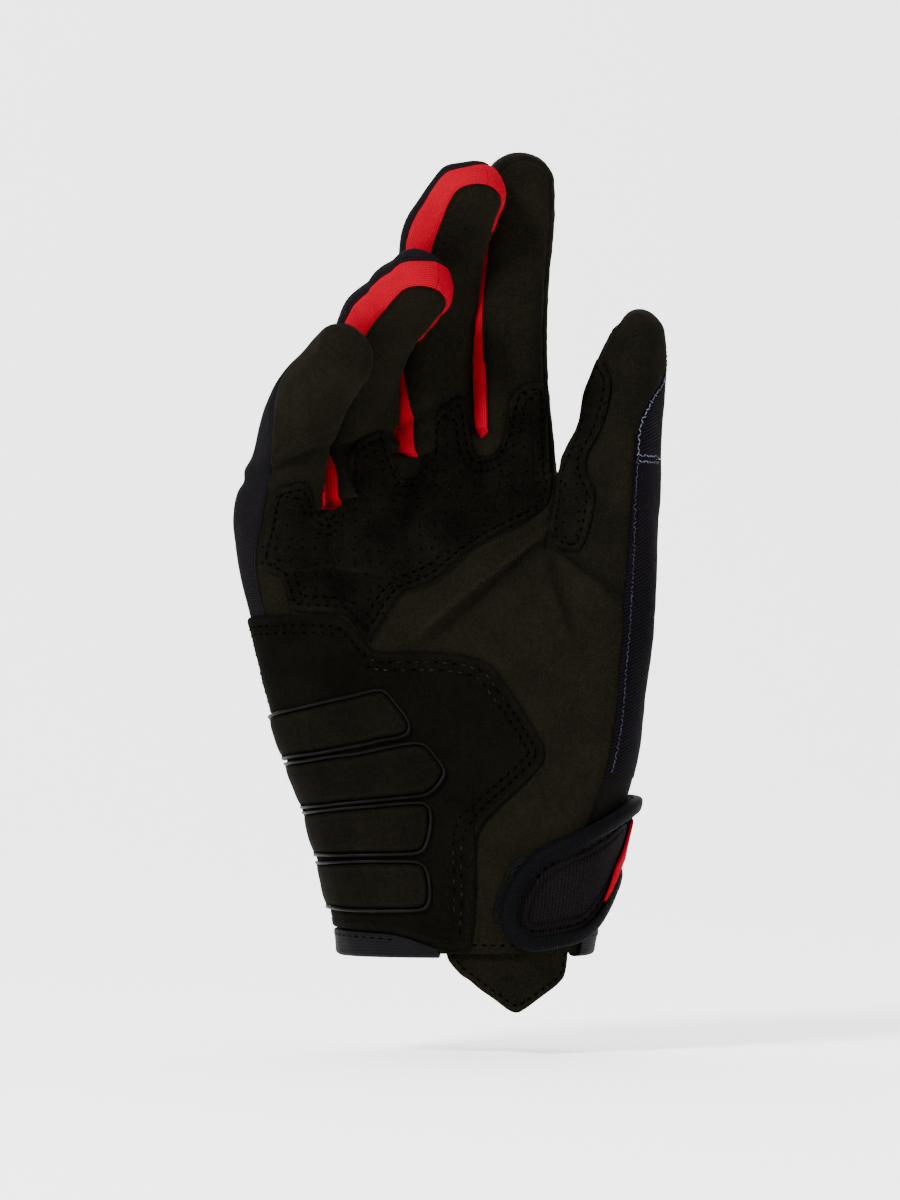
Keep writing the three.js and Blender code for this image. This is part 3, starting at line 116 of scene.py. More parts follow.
# folds of the palm: from and to as shares of breadth and length, height and width
folds = [
    {"from": (0.18, 0.525), "to": (-0.12, 0.395), "height": 1.3, "width": 4.0},
    {"from": (0.16, 0.552), "to": (-0.13, 0.425), "height": -0.9, "width": 4.0},
    {"from": (0.19, 0.515), "to": (0.225, 0.405), "height": -1.1, "width": 2.6},
    {"from": (0.19, 0.495), "to": (0.34, 0.44), "height": -0.8, "width": 2.6},
]


def smooth(x):  # 0 to 1 with level ends
    t = np.clip(x, 0, 1)
    return t * t * (3 - 2 * t)


def slopes(knots, values):  # slope at a knot from its two neighbours
    wide = values.reshape(len(values), -1)
    at = np.arange(len(knots))
    low, high = np.maximum(at - 1, 0), np.minimum(at + 1, len(knots) - 1)
    return ((wide[high] - wide[low]) / (knots[high] - knots[low])[:, None]).reshape(values.shape)


def hermite(t, span, a, slopeA, b, slopeB):  # cubic from a to b with given end slopes
    return ((2 * t**3 - 3 * t**2 + 1) * a + (t**3 - 2 * t**2 + t) * span * slopeA
            + (3 * t**2 - 2 * t**3) * b + (t**3 - t**2) * span * slopeB)


def curve(knots, values, x):  # smooth curve through the knots, also for rows of several values
    knots, values, x = np.asarray(knots, float), np.asarray(values, float), np.asarray(x, float)
    m = slopes(knots, values)
    i = np.clip(np.searchsorted(knots, x) - 1, 0, len(knots) - 2)
    span = knots[i + 1] - knots[i]
    t = np.clip((x - knots[i]) / span, 0, 1)
    if values.ndim > 1:
        span, t = span[..., None], t[..., None]
    return hermite(t, span, values[i], m[i], values[i + 1], m[i + 1])


columnCentres = (columnEdges[1:] + columnEdges[:-1]) / 2
shareKnots = np.concatenate([[-0.05], columnCentres, [1.05]])


def pickAt(rows, column):
    return np.take_along_axis(rows, column[..., None], -1)[..., 0]


def acrossColumns(table, share, z):  # a quantity known at the five column centres, by height
    share, z = np.broadcast_arrays(share, z)
    columns = curve(table[:, 0], table[:, 1:], z)
    values = np.concatenate([columns[..., :1], columns, columns[..., 4:]], -1)
    m = np.empty_like(values)
    m[..., 1:-1] = (values[..., 2:] - values[..., :-2]) / (shareKnots[2:] - shareKnots[:-2])
    m[..., 0] = (values[..., 1] - values[..., 0]) / (shareKnots[1] - shareKnots[0])
    m[..., -1] = (values[..., -1] - values[..., -2]) / (shareKnots[-1] - shareKnots[-2])
    i = np.clip(np.searchsorted(shareKnots, share) - 1, 0, len(shareKnots) - 2)
    span = shareKnots[i + 1] - shareKnots[i]
    t = np.clip((share - shareKnots[i]) / span, 0, 1)
    return hermite(t, span, pickAt(values, i), pickAt(m, i), pickAt(values, i + 1), pickAt(m, i + 1))


outlineHeights = outlineRows[:, 0] * gloveLength
frontTable = np.column_stack([frontRows[:, 0] * gloveLength, frontRows[:, 1:] * wristDepth])
rearTable = np.column_stack([rearRows[:, 0] * gloveLength, rearRows[:, 1:] * wristDepth])
cupTable = np.column_stack([outlineHeights, outlineRows[:, 3:4] * cupShares * wristDepth])


def besideLine(x, z, start, run):  # share of the way along a line and mm to the side of it
    reach = math.hypot(*run)
    along = ((x - start[0]) * run[0] + (z - start[1]) * run[1]) / reach**2
    return along, ((x - start[0]) * run[1] - (z - start[1]) * run[0]) / reach


def foldHeight(x, z):  # ridge or dent: bell curve across a line, fading at both ends
    total = 0
    for fold in folds:
        start = np.array([fold["from"][0] * gloveBreadth, fold["from"][1] * gloveLength])
        run = np.array([fold["to"][0] * gloveBreadth, fold["to"][1] * gloveLength]) - start
        along, side = besideLine(x, z, start, run)
        ends = smooth(along * 4 + 0.5) * smooth((1 - along) * 4 + 0.5)
        total = total + fold["height"] * ends * np.exp(-(side / fold["width"])**2)
    return total


def bodyPoint(across, bulge, z, inset):  # whole hand: across -1..1, bulge -1 back .. 1 palm
    left = curve(outlineHeights, outlineRows[:, 1] * gloveBreadth, z) + inset
    right = curve(outlineHeights, outlineRows[:, 2] * gloveBreadth, z) - inset
    share = (across + 1) / 2
    x = left + (right - left) * share
    depth = np.where(bulge > 0, acrossColumns(frontTable, share, z), acrossColumns(rearTable, share, z)) - inset
    fold = np.where(bulge > 0, foldHeight(x, z) * bulge, 0)
    y = acrossColumns(cupTable, share, z) - depth * bulge - fold
    return np.stack(np.broadcast_arrays(x, y, z), -1)


def makeBone(digit):  # centre line of a digit with its widths, by the length run along it
    rows = np.array(digit["joints"]) * [gloveBreadth, wristDepth, gloveLength, gloveBreadth, wristDepth]
    run = np.concatenate([[0], np.cumsum(np.linalg.norm(np.diff(rows[:, :3], axis=0), axis=1))])
    tip = rows[-1, 3] * section["tipRounding"]
    swing = math.radians(digit["swing"])
    return {"heights": rows[0, 2] + run, "rows": rows, "tip": tip, "top": rows[0, 2] + run[-1] - tip,
            "facing": np.array([math.sin(swing), -math.cos(swing), 0])}


bones = [makeBone(digit) for digit in digits]


def digitPoint(k, across, bulge, height, cap, inset):  # section of a digit, cap 0..1 over its rounded tip
    bone = bones[k]
    heights, rows = bone["heights"], bone["rows"]
    reached = height + cap * (bone["tip"] - inset)
    at = np.clip(reached, heights[0] + 0.05, heights[-1] - 0.05)
    tangent = curve(heights, rows[:, :3], at + 0.05) - curve(heights, rows[:, :3], at - 0.05)
    tangent = tangent / np.linalg.norm(tangent, axis=-1, keepdims=True)
    past = np.minimum(reached - heights[0], 0) + np.maximum(reached - heights[-1], 0)
    centre = curve(heights, rows[:, :3], reached) + past[..., None] * tangent
    lateral = np.cross(tangent, bone["facing"])
    lateral = lateral / np.linalg.norm(lateral, axis=-1, keepdims=True)
    outward = np.cross(lateral, tangent)
    wide = curve(heights, rows[:, 3], height) - inset
    deep = curve(heights, rows[:, 4], height) - inset
    return centre + (wide * across)[..., None] * lateral + (deep * bulge)[..., None] * outward


def blendPoint(k, digit, body, height, cap, inset):  # the hand turns into the digit below the web
    low = min(webHeights[max(k - 1, 0):min(k + 1, 4)])
    blend = digits[k]["blend"] * gloveLength
    weight = smooth((height - (low - blend)) / (blend - 1))[..., None]
    hand = bodyPoint(body[0], body[1], np.minimum(height, low + 2), inset)
    return hand * (1 - weight) + digitPoint(k, digit[0], digit[1], height, cap, inset) * weight


def matched(*values):  # numbers and arrays as float arrays of one shape
    return np.broadcast_arrays(*[np.asarray(v, float) for v in values])


def bulgeAt(across):
    power = section["power"]
    return np.maximum(1 - np.abs(across)**power, 0)**(1 / power)


def columnEdge(place, height):
    share = np.interp(place, np.arange(6), columnEdges)
    left = curve(outlineHeights, outlineRows[:, 4], height)
    right = curve(outlineHeights, outlineRows[:, 5], height)
    return -left + (left + right) * share


def freedom(web, height):  # 0 where two columns are joined .. 1 where both digits are free
    t = np.clip((height - webHeights[web]) / webs[web, 1], 0, 1)
    return np.sqrt(np.maximum(1 - (1 - t)**2, 0))


def ownFacePoint(k, side, height, cap, inset, sign, seam):
    across = side * np.sqrt(np.maximum(seam**2 - cap**2, 0))
    bodyAcross = columnEdge(k + (side + 1) / 2, height)
    digit = (across, sign * bulgeAt(np.hypot(across, cap)))
    return blendPoint(k, digit, (bodyAcross, sign * bulgeAt(bodyAcross)), height, cap, inset)


# palm face (1) or back face (-1) of a column
def facePoint(k, side, height, cap=0.0, inset=0.0, sign=1, seam=None):
    seam = section["seam"] if seam is None else seam
    side, height, cap, inset, seam = matched(side, height, cap, inset, seam)
    pulls, drop = [], 0
    for direction in (-1, 1):
        web = k - 1 if direction < 0 else k
        if 0 <= web < 4:
            joined = np.clip((side * direction - 0.3) / 0.7, 0, 1)**2 * (1 - freedom(web, height))
            pulls.append((direction, joined, np.minimum(height, webHeights[web] + webs[web, 1])))
            drop = drop + inset * joined * smooth((height - webHeights[web] * 0.75) / (webHeights[web] * 0.2))
    point = ownFacePoint(k, side, height - drop, cap, inset, sign, seam)
    level = np.zeros_like(height)
    for direction, joined, low in pulls:
        own = ownFacePoint(k, level + direction, low - drop, level, inset, sign, seam)
        other = ownFacePoint(k + direction, level - direction, low - drop, level, inset, sign, seam)
        point = point + joined[..., None] * (other - own) / 2
    return point


def sectionTurn(turn):  # rounded-square section: cosine and sine to the power 2 / 2.5
    c, s, p = np.cos(turn), np.sin(turn), 2 / section["power"]
    return np.sign(c) * np.abs(c)**p, np.sign(s) * np.abs(s)**p


seamTurn = math.acos(section["seam"]**(section["power"] / 2))


def ownWallPoint(k, side, share, height, inset):
    digit = sectionTurn(seamTurn * (1 - 2 * share))
    edge = columnEdge(k if side < 0 else k + 1, height)
    if (k, side) in ((little, -1), (thumb, 1)):
        rounded = sectionTurn(np.arccos(np.abs(edge)**(section["power"] / 2)) * (1 - 2 * share))
        body = (side * rounded[0], rounded[1])
    else:
        body = (edge, digit[1] * bulgeAt(edge))
    return blendPoint(k, (side * digit[0], digit[1]), body, height, np.zeros_like(height), inset)


def wallPoint(k, side, share, height, inset=0.0):  # side wall: share 0 at the palm seam .. 1 at the back seam
    share, height, inset = matched(share, height, inset)
    if (k, side) in ((little, -1), (thumb, 1)):
        return ownWallPoint(k, side, share, height, inset)
    web = min(k, k + side)
    joined = 1 - freedom(web, height)
    drop = inset * joined
    low = np.minimum(height, webHeights[web] + webs[web, 1]) - drop
    own = ownWallPoint(k, side, share, low, inset)
    other = ownWallPoint(k + side, -side, share, low, inset)
    return ownWallPoint(k, side, share, height - drop, inset) + joined[..., None] * (other - own) / 2


def tipPoint(k, share, turn, inset=0.0):  # wall over the rounded tip: turn 0 on the thumb side .. pi
    share, turn, inset = matched(share, turn, inset)
    across, bulge = sectionTurn(seamTurn * (1 - 2 * share))
    top = np.full_like(share, bones[k]["top"])
    return digitPoint(k, across * np.cos(turn), bulge, top, across * np.sin(turn), inset)


def ringPoint(turn, height, inset=0.0):  # whole hand by turn in degrees: 0 thumb side, 90 palm, 180 little side
    turn, height, inset = matched(turn, height, inset)
    across, bulge = sectionTurn(np.radians(turn))
    return bodyPoint(across, bulge, height, inset)


def palmPoint(place, height, inset=0.0):  # palm by place across the columns 0..5
    place, height, inset = matched(place, height, inset)
    point = np.zeros(place.shape + (3,))
    for k in range(5):
        inside = (np.clip(np.floor(place), 0, 4) == k)
        if inside.any():
            point[inside] = facePoint(k, 2 * (place[inside] - k) - 1, height[inside], 0, inset[inside], 1)
    return point


def softNoise(points, size, seed):  # sum of nine plane waves of about one length in fixed directions
    rng = np.random.default_rng(seed)
    total = 0
    for direction in rng.normal(size=(9, 3)):
        direction = direction / np.linalg.norm(direction)
        wave = points @ direction * (2 * math.pi / (size * rng.uniform(0.7, 1.5)))
        total = total + np.sin(wave + rng.uniform(0, 6.28))
    return total / 4.5


# local fullness: place in x and z, reach in x and z, depth in mm (below 0 outwards)
fullness = np.array([
    [-17.5, 207, 5, 11, -1.9], [-2.9, 226, 8, 5, 1.5], [-34, 185, 6, 8, -1.3], [-47, 172, 6, 9, 1.2],
    [-63, 143, 5, 9, 1.1], [-67, 126, 5, 9, -0.9], [24, 185, 4.5, 24, 1.3], [25.5, 143, 3.5, 10, -2.2],
    [46, 54, 6, 24, -1.7], [51, 92, 5, 18, -0.8], [54, 146, 5, 20, 1.0], [31, 148, 4.5, 9, 1.7],
    [35.5, 164, 5, 10, 2.0], [39.5, 179, 5.5, 7, 3.4], [57, 183, 5, 7, 1.0]])
# creases of the palm side: from x, z to x, z, depth in mm (below 0 a ridge), half width
creaseLines = np.array([
    [31, 127.5, -20, 86, -1.6, 1.1], [28, 122, -18, 82.5, 1.1, 1.8], [21.5, 117, 30.5, 85, 1.3, 1.2],
    [22, 117, 46, 98.5, 1.2, 1.2], [20, 104, 4, 84, 0.35, 1.8], [-27, 84, -3, 78, -0.4, 1.6],
    [-52, 108.6, -19, 107.8, -0.8, 0.9], [-51, 106.2, -21, 105.6, 0.9, 1.3], [-60, 80.5, -19, 82.5, 0.6, 3.0],
    [-68, 131.5, -37, 144, 1.1, 1.7], [-67, 134.5, -39, 147, -0.7, 2.2],
    [-41, 142, -20, 147, 1.0, 1.5], [-26, 145, 0, 159, 1.0, 1.7]])


creaseShape = {"rear": 2, "fade": 6, "waver": 0.35, "waves": 7}  # y in mm where creases end, and how they waver


def creaseRelief(points):  # each crease is a bell across a wavering line, faded at both ends
    x, z = points[..., 0], points[..., 2]
    relief = 0 * x
    palmSide = smooth((creaseShape["rear"] - points[..., 1]) / creaseShape["fade"])
    for startX, startZ, endX, endZ, depth, wide in creaseLines:
        along, side = besideLine(x, z, (startX, startZ), (endX - startX, endZ - startZ))
        side = side + creaseShape["waver"] * np.sin(along * creaseShape["waves"] + startX)
        ends = smooth(along * 5) * smooth((1 - along) * 4)
        relief = relief + depth * ends * palmSide * np.exp(-(side / wide)**2)
    return relief


unevenness = {"slow": 0.16, "fine": 0.07}


def slack(points):  # slow unevenness, fullness and creases shared by the skin and everything sewn on it
    relief = unevenness["slow"] * softNoise(points, 17, 3) + unevenness["fine"] * softNoise(points, 6, 4)
    relief = relief + creaseRelief(points)
    x, z = points[..., 0], points[..., 2]
    for atX, atZ, reachX, reachZ, depth in fullness:
        relief = relief + depth * np.exp(-((x - atX) / reachX)**2 - ((z - atZ) / reachZ)**2)
    return relief


print("glove: surface maths ready")


# meshes from grids
def gridUv(points, start=(0.0, 0.0)):  # lengths run across and along the middle of the grid, in metres
    across = np.linalg.norm(np.diff(points, axis=1), axis=-1).mean(0)
    along = np.linalg.norm(np.diff(points, axis=0), axis=-1).mean(1)
    u = np.concatenate([[0], np.cumsum(across)]) + start[0]
    v = np.concatenate([[0], np.cumsum(along)]) + start[1]
    return np.stack(np.broadcast_arrays(u[None, :], v[:, None]), -1) * mm


def makeGrid(outer, inner, flip=False, paintedLightAndWear=None, start=(0.0, 0.0)):
    paintedLightAndWear = np.zeros(outer.shape[:2]) if paintedLightAndWear is None else np.broadcast_to(paintedLightAndWear, outer.shape[:2])
    return {"outer": outer, "inner": inner, "flip": flip, "paintedLightAndWear": paintedLightAndWear, "uv": gridUv(outer, start)}


def quadIds(rows, columns, wrapRows=False, wrapColumns=False):  # corners of every cell of a grid
    i = np.arange(rows if wrapRows else rows - 1)
    j = np.arange(columns if wrapColumns else columns - 1)
    i, j = [a.ravel() for a in np.meshgrid(i, j, indexing="ij")]
    ii, jj = (i + 1) % rows, (j + 1) % columns
    return np.stack([i * columns + j, i * columns + jj, ii * columns + jj, ii * columns + j], -1)


def putMesh(name, points, quads, uv=None, paintedLightAndWear=None, material=None, sharp=50):
    # mesh in metres from points in millimetres; a cell with a doubled corner becomes a triangle
    doubled = np.stack([quads[:, a] == quads[:, (a + 1) % 4] for a in range(4)], -1)
    whole = ~doubled.any(1)
    keep = np.stack([~np.roll(doubled, 1, 1)[:, a] for a in range(4)], -1)
    single = (doubled.sum(1) == 1)
    triangles = quads[single][keep[single]].reshape(-1, 3)
    loops = np.concatenate([quads[whole].ravel(), triangles.ravel()])
    starts = np.concatenate([np.arange(whole.sum()) * 4, whole.sum() * 4 + np.arange(len(triangles)) * 3])
    mesh = bpy.data.meshes.new(name)
    mesh.vertices.add(len(points))
    mesh.vertices.foreach_set("co", (points * mm).astype(np.float32).ravel())
    mesh.loops.add(len(loops))
    mesh.loops.foreach_set("vertex_index", loops.astype(np.int32))
    mesh.polygons.add(len(starts))
    mesh.polygons.foreach_set("loop_start", starts.astype(np.int32))
    mesh.polygons.foreach_set("use_smooth", np.ones(len(starts), bool))
    if uv is not None:
        uvs = np.concatenate([uv[whole].reshape(-1, 2), uv[single][keep[single]].reshape(-1, 2)])
        mesh.uv_layers.new(name="cloth").data.foreach_set("uv", uvs.astype(np.float32).ravel())
    if paintedLightAndWear is not None:
        mesh.attributes.new("paintedLightAndWear", "FLOAT", "POINT").data.foreach_set("value", paintedLightAndWear.astype(np.float32))
    mesh.update(calc_edges=True)
    mesh.validate()
    mesh.set_sharp_from_angle(angle=math.radians(sharp))
    if material:
        mesh.materials.append(material)
    piece = bpy.data.objects.new(name, mesh)
    bpy.context.scene.collection.objects.link(piece)
    return piece


def faceOut(points, quads, uv):  # cells of a closed mesh turned to face away from its inside
    centre = points[quads].mean(1) - points.mean(0)
    normal = np.cross(points[quads[:, 2]] - points[quads[:, 0]], points[quads[:, 3]] - points[quads[:, 1]])
    return (quads[:, ::-1], uv[:, ::-1]) if (centre * normal).sum() < 0 else (quads, uv)


# points closer than 0.002 mm are one: places on a lattice, as whole numbers of 21 bits for each axis
weld = {"perMm": 500, "nudge": 0.123, "middle": 10**6, "bits": 21}


def weldKeys(points):
    key = np.round(points * weld["perMm"] + weld["nudge"]).astype(np.int64) + weld["middle"]
    return (key[:, 0] << 2 * weld["bits"]) + (key[:, 1] << weld["bits"]) + key[:, 2]


def putShell(name, grids, material, nodes, sharp=50):
    # closed shell: outer skins of all grids welded, inner skins behind them, a rim round every free edge
    outer = np.concatenate([g["outer"].reshape(-1, 3) for g in grids])
    inner = np.concatenate([g["inner"].reshape(-1, 3) for g in grids])
    paintedLightAndWear = np.concatenate([g["paintedLightAndWear"].ravel() for g in grids])
    uv = np.concatenate([g["uv"].reshape(-1, 2) for g in grids])
    quads, base = [], 0
    for g in grids:
        ids = quadIds(*g["outer"].shape[:2]) + base
        quads.append(ids[:, ::-1] if g["flip"] else ids)
        base += g["outer"].shape[0] * g["outer"].shape[1]
    quads = np.concatenate(quads)
    first, back = np.unique(weldKeys(outer), return_index=True, return_inverse=True)[1:]
    loopUv, quads = uv[quads], back[quads]
    outer, inner, paintedLightAndWear = outer[first], inner[first], paintedLightAndWear[first]
    folded = (quads[:, 0] == quads[:, 2]) | (quads[:, 1] == quads[:, 3])
    flat = folded | ((quads == np.roll(quads, 1, 1)).sum(1) > 1)
    quads, loopUv = quads[~flat], loopUv[~flat]
    count = len(outer)
    a, b = quads.ravel(), np.roll(quads, -1, 1).ravel()
    whole = a != b
    a, b = a[whole], b[whole]
    uvA, uvB = [each.reshape(-1, 2)[whole] for each in (loopUv, np.roll(loopUv, -1, 1))]
    free = ~np.isin(b * count + a, a * count + b)
    a, b, uvA, uvB = a[free], b[free], uvA[free], uvB[free]
    rim = np.stack([b, a, a + count, b + count], -1)
    allQuads = np.concatenate([quads, quads[:, ::-1] + count, rim])
    allUv = np.concatenate([loopUv, loopUv[:, ::-1], np.stack([uvB, uvA, uvA, uvB], 1)])
    points = np.concatenate([outer, inner])
    allQuads, allUv = faceOut(points, allQuads, allUv)
    piece = putMesh(name, points, allQuads, allUv, np.concatenate([paintedLightAndWear, paintedLightAndWear]), material, sharp)
    return settle(piece, nodes)


def putTube(name, points, closed, material, nodes):  # rings of points as a tube, closed round or capped
    count, wide = points.shape[:2]
    quads = quadIds(count, wide, wrapRows=closed, wrapColumns=True)
    uv = gridUv(points).reshape(-1, 2)[quads]
    spots = points.reshape(-1, 3)
    if not closed:
        spots = np.concatenate([spots, [points[0].mean(0), points[-1].mean(0)]])
        j, last = np.arange(wide), (count - 1) * wide
        jj = (j + 1) % wide
        quads = np.concatenate([quads, np.stack([np.full(wide, count * wide), jj, j, j], -1),
                                np.stack([np.full(wide, count * wide + 1), last + j, last + jj, last + jj], -1)])
        uv = np.concatenate([uv, np.zeros((2 * wide, 4, 2))])
    quads, uv = faceOut(spots, quads, uv)
    return settle(putMesh(name, spots, quads, uv, np.zeros(len(spots)), material, 60), nodes)


def settle(piece, nodes=()):
    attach(piece, "root")
    if nodes:
        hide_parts(*nodes)
    return piece


# finishes
def addNode(material, kind, inputs=None, **settings):
    made = material.node_tree.nodes.new(kind)
    for key, value in settings.items():
        setattr(made, key, value)
    for key, value in (inputs or {}).items():
        if isinstance(value, bpy.types.NodeSocket):
            material.node_tree.links.new(value, made.inputs[key])
        else:
            made.inputs[key].default_value = value
    return made


def newFinish(name, sockets):  # principled shader with its constant values set on its own sockets
    material = bpy.data.materials.new(name)
    material.use_nodes = True
    shader = material.node_tree.nodes["Principled BSDF"]
    for key, value in sockets.items():
        shader.inputs[key].default_value = value
    return material, shader


def link(material, output, target):
    material.node_tree.links.new(output, target)


def noise(material, coords, scale, detail, roughness=0.5):
    return addNode(material, "ShaderNodeTexNoise", {"Vector": coords, "Scale": scale, "Detail": detail,
                                                    "Roughness": roughness}).outputs["Fac"]


def napSockets(look, sheenRoughness):
    return {"Roughness": look["roughness"], "Sheen Weight": look["sheen"], "Sheen Roughness": sheenRoughness,
            "Sheen Tint": (*look["sheenTint"], 1), "Specular IOR Level": look["specular"]}


def sumOf(material, terms):  # weighted sum of sockets
    total = None
    for socket, weight in terms:
        scaled = addNode(material, "ShaderNodeMath", {0: socket, 1: weight}, operation="MULTIPLY").outputs[0]
        if total is None:
            total = scaled
        else:
            total = addNode(material, "ShaderNodeMath", {0: total, 1: scaled}, operation="ADD").outputs[0]
    return total


def rampBetween(material, fac, low, high, start=0.3, end=0.7):
    ramp = addNode(material, "ShaderNodeValToRGB", {"Fac": fac})
    ramp.color_ramp.elements[0].position, ramp.color_ramp.elements[1].position = start, end
    ramp.color_ramp.elements[0].color, ramp.color_ramp.elements[1].color = (*low, 1), (*high, 1)
    return ramp.outputs["Color"]


# painted light: at -1 the colour is paler for edge wear and for painted highlight on crease ridges, at 1 darker for
# painted shade
shades = {"pale": (1.9, 1.85, 1.8), "paintedShade": (0.12, 0.12, 0.12)}  # factors of the colour at tone -1 and 1


def finishWith(material, shader, color, height, bumpStrength, bumpDistance):
    # the tone attribute paints light and shade into the colour: paler for edge wear and painted highlight on crease
    # ridges, darker for painted shade in seam rolls, crease valleys, stitch grooves and along the pad edges
    paintedLightAndWear = addNode(material, "ShaderNodeAttribute", attribute_name="paintedLightAndWear").outputs["Fac"]
    lightened = addNode(material, "ShaderNodeMath", {0: paintedLightAndWear, 1: -1.0}, operation="MULTIPLY", use_clamp=True).outputs[0]
    pale = addNode(material, "ShaderNodeVectorMath", {0: color, 1: shades["pale"]}, operation="MULTIPLY").outputs[0]
    paled = addNode(material, "ShaderNodeMix", {0: lightened, 6: color, 7: pale}, data_type="RGBA").outputs[2]
    shade = addNode(material, "ShaderNodeVectorMath", {0: color, 1: shades["paintedShade"]},
                    operation="MULTIPLY").outputs[0]
    paintedShade = addNode(material, "ShaderNodeMix", {0: paintedLightAndWear, 6: paled, 7: shade}, data_type="RGBA")
    link(material, paintedShade.outputs[2], shader.inputs["Base Color"])
    bump = addNode(material, "ShaderNodeBump",
                   {"Height": height, "Strength": bumpStrength, "Distance": bumpDistance})
    link(material, bump.outputs["Normal"], shader.inputs["Normal"])
    return material


def suedeFinish(name, look):  # short nap: fine grain, brushed streaks and slow mottling of the colour
    material, shader = newFinish(name, napSockets(look, 0.45))
    coords = addNode(material, "ShaderNodeTexCoord").outputs["Object"]
    nap = noise(material, coords, 2500, 3, 0.6)
    brush = addNode(material, "ShaderNodeMapping", {"Vector": coords, "Scale": (1, 1, 0.35)})
    streak = noise(material, brush.outputs[0], 900, 4, 0.6)
    mottle = noise(material, coords, 60, 3, 0.55)
    mixed = sumOf(material, [(nap, 0.6), (streak, 0.16), (mottle, 0.24)])
    color = rampBetween(material, mixed, look["low"], look["high"], 0.34, 0.66)
    height = sumOf(material, [(nap, 0.6), (streak, 0.4)])
    return finishWith(material, shader, color, height, look["bump"], 0.0004)


def clothFinish(name, look):  # woven or knitted cloth from its own lengths: two sets of waves, turned for a twill
    material, shader = newFinish(name, napSockets(look, 0.4))
    uv = addNode(material, "ShaderNodeTexCoord").outputs["UV"]
    turned = addNode(material, "ShaderNodeMapping", {"Vector": uv, "Rotation": (0, 0, math.radians(look["turn"]))})
    waves = []
    for direction, pitch in (("X", look["warp"]), ("Y", look["weft"])):
        wave = addNode(material, "ShaderNodeTexWave",
                       {"Vector": turned.outputs[0], "Scale": 0.31416 / (pitch * mm), "Distortion": 0.6,
                        "Detail": 1.5, "Detail Scale": 2.0}, bands_direction=direction)
        waves.append(wave.outputs["Fac"])
    coords = addNode(material, "ShaderNodeTexCoord").outputs["Object"]
    fibre, mottle = noise(material, coords, 1900, 3), noise(material, coords, 70, 2)
    weave = sumOf(material, [(waves[0], look["warpShare"]), (waves[1], 1 - look["warpShare"])])
    mixed = sumOf(material, [(weave, 0.5), (fibre, 0.25), (mottle, 0.25)])
    color = rampBetween(material, mixed, look["low"], look["high"], 0.25, 0.75)
    height = sumOf(material, [(weave, 0.75), (fibre, 0.25)])
    return finishWith(material, shader, color, height, look["bump"], 0.00035)


def perforatedFinish(name, look):  # suede with small holes on a slightly uneven square lattice
    material, shader = newFinish(name, napSockets(look, 0.45))
    coords = addNode(material, "ShaderNodeTexCoord").outputs["Object"]
    nap, mottle = noise(material, coords, 2400, 3), noise(material, coords, 70, 3)
    flat = addNode(material, "ShaderNodeMapping", {"Vector": coords, "Rotation": (math.pi / 2, 0, 0)})
    holes = addNode(material, "ShaderNodeTexVoronoi",
                    {"Vector": flat.outputs[0], "Scale": 1 / (look["holePitch"] * mm),
                     "Randomness": look["holeScatter"]}, voronoi_dimensions="2D")
    wide = look["holeRadius"] / look["holePitch"]
    hole = addNode(material, "ShaderNodeMapRange",
                    {"Value": holes.outputs["Distance"], "From Min": wide * 0.55, "From Max": wide * 1.25,
                     "To Min": 1.0, "To Max": 0.0}).outputs[0]
    mixed = sumOf(material, [(nap, 0.5), (mottle, 0.5)])
    color = rampBetween(material, mixed, look["low"], look["high"], 0.36, 0.66)
    # each hole painted near-black as painted shade inside it, and sunk by the bump
    holesShaded = addNode(material, "ShaderNodeMix", {0: hole, 6: color, 7: (0.0004, 0.0004, 0.0004, 1)},
                      data_type="RGBA")
    height = sumOf(material, [(nap, 0.5), (hole, -1.6)])
    return finishWith(material, shader, holesShaded.outputs[2], height, look["bump"], 0.0005)


def rubberFinish(name, look):
    material, shader = newFinish(name, {"Roughness": look["roughness"], "Specular IOR Level": look["specular"]})
    coords = addNode(material, "ShaderNodeTexCoord").outputs["Object"]
    grain, scuff = noise(material, coords, 1500, 2), noise(material, coords, 140, 4)
    color = rampBetween(material, scuff, look["low"], look["high"])
    return finishWith(material, shader, color, grain, 0.15, 0.0002)


